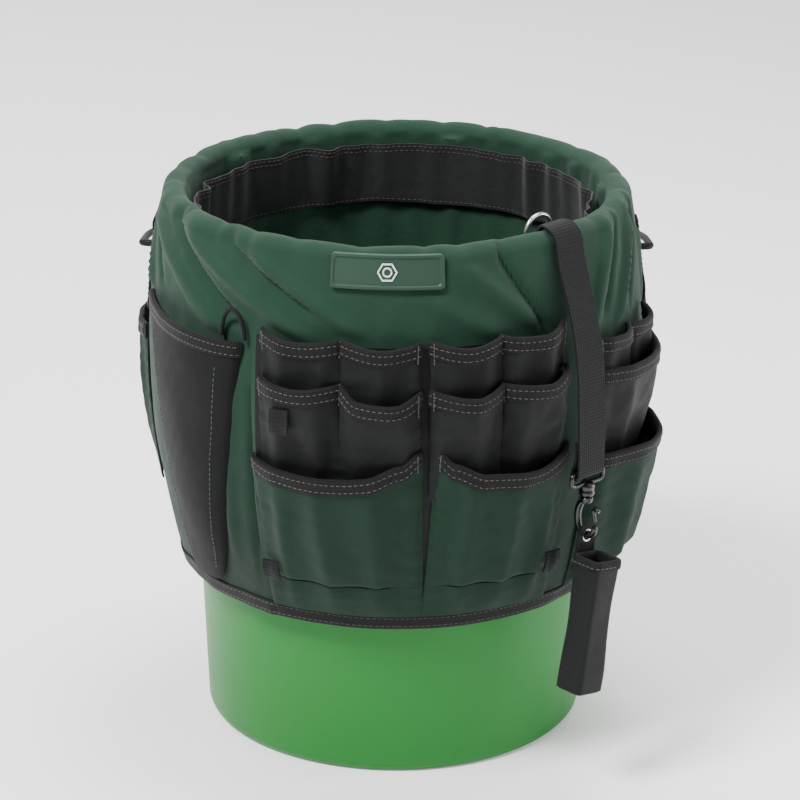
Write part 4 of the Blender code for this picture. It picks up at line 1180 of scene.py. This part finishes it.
def build_pail():
    """The pail: rounded foot, tapered wall, collar and rolled lip."""
    lip = PAIL_HEIGHT - 11.0
    collar = 302.0
    outline = [(0.0, 0.0), (60.0, 0.0), (104.0, 0.0), (105.0, 0.5), (106.0, 1.2), (118.0, 1.2),
               (119.0, 0.7), (120.0, 0.0)]
    corner = 6.0
    foot = pail_radius(corner)
    for turn in np.radians(np.linspace(-90.0, 0.0, 9)):
        outline.append((foot - corner + corner * math.cos(turn),
                        corner + corner * math.sin(turn)))
    outline += [(pail_radius(height), height) for height in np.linspace(30.0, collar, 14)]
    outline += [(149.4, collar + 0.3), (150.0, collar + 0.9), (150.0, collar + 2.7),
                (149.4, collar + 3.3), (pail_radius(collar + 3.6), collar + 3.6),
                (pail_radius(lip), lip), (PAIL_LIP_RADIUS - 0.8, lip + 0.5),
                (PAIL_LIP_RADIUS, lip + 1.6), (PAIL_LIP_RADIUS, PAIL_HEIGHT - 2.0)]
    for turn in np.radians(np.linspace(0.0, 90.0, 5)):
        outline.append((PAIL_LIP_RADIUS - 2.0 + 2.0 * math.cos(turn),
                        PAIL_HEIGHT - 2.0 + 2.0 * math.sin(turn)))
    inner_top = pail_radius(PAIL_HEIGHT) - PAIL_WALL
    outline += [(inner_top + 1.0, PAIL_HEIGHT), (inner_top, PAIL_HEIGHT - 1.0),
                (pail_radius(200.0) - PAIL_WALL, 200.0), (pail_radius(9.0) - PAIL_WALL, 9.0),
                (pail_radius(9.0) - PAIL_WALL - 1.4, 5.4),
                (pail_radius(9.0) - PAIL_WALL - 5.0, 3.6), (70.0, 3.6), (0.0, 3.6)]
    pail = make_turned("pail", outline, "pail", sides=192)
    attach(pail, "root", "bucket_wall", "bucket_floor", slot="pail_plastic")
    for side_name, sign in (("left", -1.0), ("right", 1.0)):
        start = PAIL_TOP_RADIUS + 0.8
        boss = [(3.2, start), (11.0, start), (11.0, start + 2.0), (10.4, start + 2.7),
                (7.9, start + 3.4), (7.3, start + 5.0), (7.0, 156.2), (6.4, 157.0),
                (3.7, 157.0), (3.2, 156.5)]
        matrix = Matrix.Translation((0.0, 0.0, BAIL_PIVOT))
        matrix = matrix @ Matrix.Rotation(sign * math.pi / 2.0, 4, "Y")
        attach(make_turned(f"pail_ear_{side_name}", boss, "pail", matrix, sides=48), "root",
               f"bail_ear_{side_name}", slot="pail_plastic")


def bail_point(across, reach):
    """A point of the bail's plane at rest."""
    droop = math.radians(BAIL_DROOP)
    return np.array([across, reach * math.cos(droop), BAIL_PIVOT - reach * math.sin(droop)])


def build_bail():
    """The wire bail and its ribbed grip."""
    elbow, leg, shoulder = 6.0, 40.0, 55.0
    half = [(148.5, 0.0), (158.0, 0.0), (BAIL_HALF_WIDTH - elbow, 0.0)]
    for turn in np.radians((18.0, 36.0, 54.0, 72.0, 90.0)):
        half.append((BAIL_HALF_WIDTH - elbow + elbow * math.sin(turn),
                     elbow - elbow * math.cos(turn)))
    for turn in np.radians(np.linspace(0.0, 90.0, 30)):
        half.append((shoulder + (BAIL_HALF_WIDTH - shoulder) * math.cos(turn),
                     leg + (BAIL_REACH - leg) * math.sin(turn)))
    half += [(40.0, BAIL_REACH), (20.0, BAIL_REACH)]
    line = half + [(0.0, BAIL_REACH)] + [(-across, reach) for across, reach in reversed(half)]
    droop = math.radians(BAIL_DROOP)
    attach(make_bar("bail_wire_bar", [bail_point(*pair) for pair in line], 2.5, "bail",
                    (0.0, math.sin(droop), math.cos(droop))), "bail", "bail_wire",
           slot="bail_steel")
    end, bore, flute_depth = 52.0, 3.2, 0.7
    outline = [(bore, -end), (9.0, -end), (10.4, -end + 1.0), (11.2, -end + 3.0)]
    for place in np.arange(-42.0, 42.1, 1.5):
        groove = flute_depth * (0.5 + 0.5 * math.cos(place * 2.0 * math.pi / 6.0))
        belly = 11.1 + 0.7 * math.cos(place / end * math.pi / 2.0)
        outline.append((belly - groove, float(place)))
    outline += [(11.2, end - 3.0), (10.4, end - 1.0), (9.0, end), (bore, end)]
    matrix = Matrix.Translation(Vector(bail_point(0.0, BAIL_REACH)))
    matrix = matrix @ Matrix.Rotation(math.pi / 2.0, 4, "Y")
    attach(make_turned("bail_grip_sleeve", outline, "grip", matrix, sides=48), "grip",
           "bail_grip", slot="grip_plastic")


# ---------------------------------------------------------------- ring, strap, hook, pouch

def build_ring():
    """The steel ring that stands inside the rim."""
    pivot = polar(RING_ANGLE, RING_PIVOT_RADIUS, RING_PIVOT_HEIGHT)
    lean = math.radians(4.0)
    upward = radial(RING_ANGLE) * math.sin(lean) + np.array([0.0, 0.0, math.cos(lean)])
    side = tangent(RING_ANGLE)
    path = [pivot + upward * 11.6 * (1.0 - math.cos(turn)) + side * 11.6 * math.sin(turn)
            for turn in 2.0 * math.pi * np.arange(64) / 64.0]
    attach(make_bar("tool_ring_wire", path, 1.45, "ring", np.cross(side, upward), closed=True),
           "ring", "tool_ring", slot="ring_steel")


def strap_stations():
    """The webbing's middle line as (radius, height), and its width: ring, rim, hook."""
    loop = 3.3
    stations = []
    for turn in np.radians(np.linspace(-300.0, 0.0, 25)):
        stations.append((RING_PIVOT_RADIUS + loop * math.cos(turn),
                         RING_PIVOT_HEIGHT + loop * math.sin(turn), 9.0))
    outer_edge, inner_edge = 162.9, RING_PIVOT_RADIUS + loop
    middle, reach = (outer_edge + inner_edge) / 2.0, (outer_edge - inner_edge) / 2.0
    for turn in np.linspace(180.0, 0.0, 25):
        width = float(np.interp(turn, (80.0, 150.0), (24.0, 9.0)))
        stations.append((middle + reach * math.cos(math.radians(turn)),
                         FOLD_START + 12.6 * math.sin(math.radians(turn)), width))
    hanging = [(163.6, 366.0), (166.4, 356.0), (170.5, 345.0), (175.4, 331.0), (179.5, 318.0),
               (182.8, 304.0), (185.0, 290.0), (186.2, 274.0), (186.8, 258.0), (187.3, 242.0),
               (187.5, 228.0)]
    curve = smooth_path([(radius, height, 0.0) for radius, height in hanging], 5)
    stations += [(radius, height, 24.0) for radius, height, _ in curve]
    for turn in np.radians(np.linspace(-8.0, -200.0, 16)):
        stations.append((HOOK_RADIUS + 3.2 * math.cos(turn), HOOK_TOP + 3.2 * math.sin(turn),
                         24.0))
    stations += [(HOOK_RADIUS - 2.4, HOOK_TOP + 4.0, 24.0),
                 (HOOK_RADIUS - 0.1, HOOK_TOP + 9.0, 24.0),
                 (HOOK_RADIUS + 0.9, HOOK_TOP + 16.0, 24.0),
                 (HOOK_RADIUS + 0.8, HOOK_TOP + 23.0, 24.0)]
    return np.array(stations)


def build_strap():
    """Webbing from the ring over the rim and down to the snap hook, in one length."""
    stations = strap_stations()
    side = tangent(HOOK_ANGLE)
    middle = polar(HOOK_ANGLE, stations[:, 0], stations[:, 1])
    curl = 0.5 * waves(stations[:, 1], 0.0, 90.0, 92)
    rows = []
    for share in np.linspace(-1.0, 1.0, 11):
        rows.append(middle + side * (stations[:, 2:] / 2.0 * share)
                    + radial(HOOK_ANGLE) * (curl * share)[:, None])
    grid = np.array(rows).transpose(1, 0, 2)
    strap = make_sheet("hanging_strap_webbing", grid, 1.5, "webbing")
    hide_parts("hanging_strap", "ring_keeper")
    tuple(polar(HOOK_ANGLE, 163.9, 368.0) * MM)
    tuple(polar(HOOK_ANGLE, 175.4, 340.0) * MM)
    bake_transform(strap)
    normals = grid_normals(grid)
    # a sewn box, just above the stations of the loop round the hook's eye
    last = len(stations) - 21
    part = slice(last - 13, last)
    lines = []
    for column in (1, 9):
        lines.append((grid[part, column] + normals[part, column] * 0.85, normals[part, column]))
    for row in (last - 13, last - 1):
        lines.append((grid[row, 1:10] + normals[row, 1:10] * 0.85, normals[row, 1:10]))
    trim(stitch_mesh("strap_box_stitches", lines, 91, "tack", length=2.0, pitch=2.8,
                     radius=0.3), "strap")


def hook_matrix():
    """The snap hook's axes: X is radial, Y is tangential and Z is up."""
    outward, side = radial(HOOK_ANGLE), tangent(HOOK_ANGLE)
    origin = polar(HOOK_ANGLE, HOOK_RADIUS, HOOK_TOP)
    matrix = Matrix.Identity(4)
    for row in range(3):
        matrix[row][0], matrix[row][1], matrix[row][3] = outward[row], side[row], origin[row]
    matrix[2][2] = 1.0
    return matrix


def build_hook():
    """The snap hook's eye, swivel barrel, hook and thumb gate."""
    matrix = hook_matrix()

    def place(x, y, z):
        return np.array(matrix @ Vector((x, y, z)))

    half_drop = 4.25
    eye = [place(0.0, y, z - half_drop)
           for y, z, _, _ in rounded_outline(14.5, half_drop, 3.2, 7)]
    attach(make_bar("hook_eye_loop", eye, 1.55, "hook", radial(HOOK_ANGLE), closed=True),
           "strap", "hook_eye", slot="hook_plastic")
    barrel = [(2.1, -17.0), (4.2, -17.0), (4.9, -16.4), (5.2, -15.2), (5.2, -13.6),
              (4.7, -13.0), (4.7, -12.2), (5.2, -11.6), (5.2, -9.9), (4.7, -8.6), (3.4, -7.6),
              (0.0, -7.2), (0.0, -10.6), (3.2, -10.6), (3.2, -14.0), (2.1, -14.0)]
    attach(make_turned("hook_swivel_barrel", barrel, "hook", matrix, sides=32), "strap",
           slot="hook_plastic")
    stem = [(0.0, -11.2), (2.7, -11.2), (2.7, -13.4), (1.6, -13.6), (1.6, -17.3), (3.6, -17.6),
            (4.3, -18.4), (4.3, -20.2), (3.8, -21.6), (2.4, -22.6), (0.0, -23.0)]
    attach(make_turned("hook_stem", stem, "hook", matrix, sides=32), "hook",
           slot="hook_plastic")
    line = [(-0.6, -20.6), (-3.0, -21.8), (-5.2, -24.4), (-6.9, -28.5), (-7.6, -34.5),
            (-6.4, -40.0), (-3.2, -43.8), (0.8, -45.0), (4.8, -43.8), (7.4, -40.6),
            (8.0, -36.8)]
    path = smooth_path([place(x, 0.0, z) for x, z in line], 5)
    radii = np.interp(np.linspace(0.0, 1.0, len(path)), (0.0, 0.2, 0.9, 0.97, 1.0),
                      (2.2, 2.5, 2.1, 1.9, 1.2))
    attach(make_bar("hook_bow", path, radii, "hook", tangent(HOOK_ANGLE)), "hook", "hook_body",
           slot="hook_plastic")
    gate = [(11.6, -26.0), (9.6, -25.2), (7.6, -25.0), (6.8, -26.4), (7.0, -29.0),
            (7.5, -31.6), (7.9, -33.9)]
    path = smooth_path([place(x, 0.0, z) for x, z in gate], 5)
    radii = np.interp(np.linspace(0.0, 1.0, len(path)), (0.0, 0.1, 0.4, 1.0),
                      (1.1, 1.9, 1.5, 1.3))
    attach(make_bar("hook_thumb_gate", path, radii, "hook", tangent(HOOK_ANGLE)), "gate",
           "hook_gate", slot="hook_plastic")


def build_pouch():
    """The small hanging pouch: four soft sides, a bound mouth and a tongue on the hook."""
    matrix = hook_matrix()
    eyelet = matrix @ Vector((0.8, 0.0, -45.0))
    tilt = Matrix.Rotation(math.radians(-9.0), 4, Vector(radial(HOOK_ANGLE)))
    placed = Matrix.Translation(eyelet) @ tilt @ Matrix.Translation(-eyelet) @ matrix
    top, bottom = -57.0, -149.0
    near, depth, width, corner = 2.6, 21.0, 22.5, 3.4
    middle = near + depth / 2.0
    around = []
    for sign_x, sign_y, arc in corner_arcs(depth / 2.0, width / 2.0, corner, 8):
        # the corner's points, then one a little further along its straight side
        along = (0.62, 1.0) if sign_x == sign_y else (1.0, 0.62)
        around += [*arc[:, :2], arc[-1, :2] * along]
    dense = filled_in(np.array(around), 1.6)
    rows = []
    for height in np.linspace(bottom + 1.5, top, 56):
        share = (height - bottom) / (top - bottom)
        scale = 1.0 - 0.05 * math.sin(math.pi * share) ** 2
        relief = 0.45 * waves(dense[:, 0] * 1.3 + dense[:, 1], height * 0.6, 26.0, 95)
        out = dense / np.linalg.norm(dense, axis=1, keepdims=True)
        shape = dense * scale + out * relief[:, None]
        rows.append([placed @ Vector((middle + x, y, height)) for x, y in shape])
    grid = np.array([[list(point) for point in row] for row in rows])
    cloth = make_sheet("pouch_cloth", grid, 1.2, "black", closed=True)
    attach(cloth, "pouch", "pouch_body", slot="black_cloth")
    declare_cloth(grid, closed=True)
    foot = []
    for inset, lift in ((0.0, 1.6), (0.35, 0.6), (1.2, 0.0)):
        shrink = 1.0 - inset / (width / 2.0)
        foot.append([list(placed @ Vector((middle + x * shrink, y * shrink, bottom + lift)))
                     for x, y in dense])
    attach(make_loft("pouch_foot", np.array(foot), "black"), "pouch", slot="black_cloth")
    trim(make_binding("pouch_mouth_tape", grid, closed=True, width=0.55), "pouch")
    edge_stitches("pouch_mouth_stitches", grid, "pouch", 96, depths=(3.4,), closed=True,
                  material="tack")
    build_tongue(placed, top, width)


def build_tongue(placed, top, width):
    """A webbing tongue whose eyelet hangs on the hook, sewn inside the pouch's back."""
    hole, head, hook_bottom = 4.2, 8.2, -45.0
    grid_rows = []
    for ring in np.linspace(0.0, 1.0, 5):
        row = []
        for turn in np.radians(np.arange(0.0, 360.0, 10.0)):
            y_in, z_in = hole * math.cos(turn), hook_bottom + hole * math.sin(turn)
            y_out, z_out = head * math.cos(turn), hook_bottom + head * math.sin(turn)
            if math.sin(turn) < -0.2:
                z_out = top - 12.0
                y_out = (width / 2.0 - 2.5) * max(-1.0, min(1.0, math.cos(turn) * 1.25))
            y = y_in + (y_out - y_in) * ring
            z = z_in + (z_out - z_in) * ring
            row.append(list(placed @ Vector((0.8 + 0.4 * math.sin(z * 0.25), y, z))))
        grid_rows.append(row)
    grid = np.array(grid_rows)
    attach(make_sheet("pouch_tongue_webbing", grid, 1.4, "webbing", closed=True), "pouch",
           "pouch_tongue", slot="black_cloth")
    rim = [list(placed @ Vector((0.8, (hole - 0.1) * math.cos(turn),
                                 hook_bottom + (hole - 0.1) * math.sin(turn))))
           for turn in np.radians(np.arange(0.0, 360.0, 12.0))]
    attach(make_bar("tongue_eyelet_rim", rim, 1.0, "ring",
                    np.array(placed.to_3x3() @ Vector((1.0, 0.0, 0.0))), closed=True, sides=10),
           "pouch", slot="ring_steel")


# ---------------------------------------------------------------- stage, lights, camera

def build_stage():
    """A plain pale floor that curves up behind, and an even pale surround."""
    nodes = Nodes("studio_floor")
    tone = nodes.noise(nodes.place, 1.5)
    base = nodes.mixed(tone, (0.93, 0.93, 0.93), (0.95, 0.95, 0.95))
    nodes.feed(nodes.shader.inputs["Base Color"], base)
    set_inputs(nodes.shader, Roughness=0.9, Emission_Color=(1.0, 1.0, 1.0, 1.0),
               Emission_Strength=0.14)
    materials["floor"] = nodes.material
    half, depth = 6000.0, 2600.0
    curve, wall_top = 900.0, 3200.0
    profile = [(-3600.0, 0.0), (depth, 0.0)]
    for turn in np.radians(np.linspace(0.0, 90.0, 13)[1:]):
        profile.append((depth + curve * math.sin(turn), curve - curve * math.cos(turn)))
    profile.append((depth + curve, wall_top))
    points = [(x, y, z) for y, z in profile for x in (-half, half)]
    faces = [(2 * i, 2 * i + 1, 2 * i + 3, 2 * i + 2) for i in range(len(profile) - 1)]
    floor = link_mesh("studio_floor", points, faces, "floor")
    world = bpy.data.worlds.new("studio_air")
    bpy.context.scene.world = world
    world.use_nodes = True
    background = world.node_tree.nodes["Background"]
    set_inputs(background, Color=(1.0, 1.0, 1.0, 1.0), Strength=0.36)


def add_light(name, place, power, width, height=None):
    """A soft rectangular light that looks at the middle of the object."""
    data = bpy.data.lights.new(name, "AREA")
    data.shape = "RECTANGLE"
    data.size = width * MM
    data.size_y = (height or width) * MM
    data.energy = power
    light = bpy.data.objects.new(name, data)
    bpy.context.scene.collection.objects.link(light)
    light.location = Vector(place) * MM
    aim = Vector((0.0, 0.0, 230.0)) - Vector(place)
    light.rotation_euler = aim.to_track_quat("-Z", "Y").to_euler()


def build_lights():
    """A large key from the upper left front, softer fills and a tall strip on the right."""
    add_light("key_light", (-1200.0, -1150.0, 2400.0), 135.0, 800.0)
    add_light("right_fill", (1900.0, -1100.0, 1300.0), 12.0, 1000.0)
    add_light("top_light", (300.0, 400.0, 2400.0), 60.0, 1100.0)
    add_light("strip_light", (1500.0, 60.0, 420.0), 9.0, 140.0, 900.0)
    add_light("back_light", (-900.0, 1900.0, 1500.0), 20.0, 1200.0)


def build_camera():
    """The camera, at the picture's viewing angle."""
    data = bpy.data.cameras.new("studio_camera")
    data.sensor_width = 36.0
    data.lens = 144.3
    data.clip_end = 50.0
    camera = bpy.data.objects.new("studio_camera", data)
    bpy.context.scene.collection.objects.link(camera)
    camera.location = Vector((3.2, -2080.0, 990.0)) * MM
    down, roll = 20.305, 0.4
    camera.rotation_euler = (Matrix.Rotation(math.radians(90.0 - down), 4, "X")
                             @ Matrix.Rotation(math.radians(roll), 4, "Z")).to_euler()
    bpy.context.scene.camera = camera


build_camera()
build_stage()
build_lights()
build_pail()
build_bail()
build_skirt()
build_inner_band()
build_patch()
build_backing()
build_pockets()
build_holster()
build_tabs()
build_ring()
build_strap()
build_hook()
build_pouch()
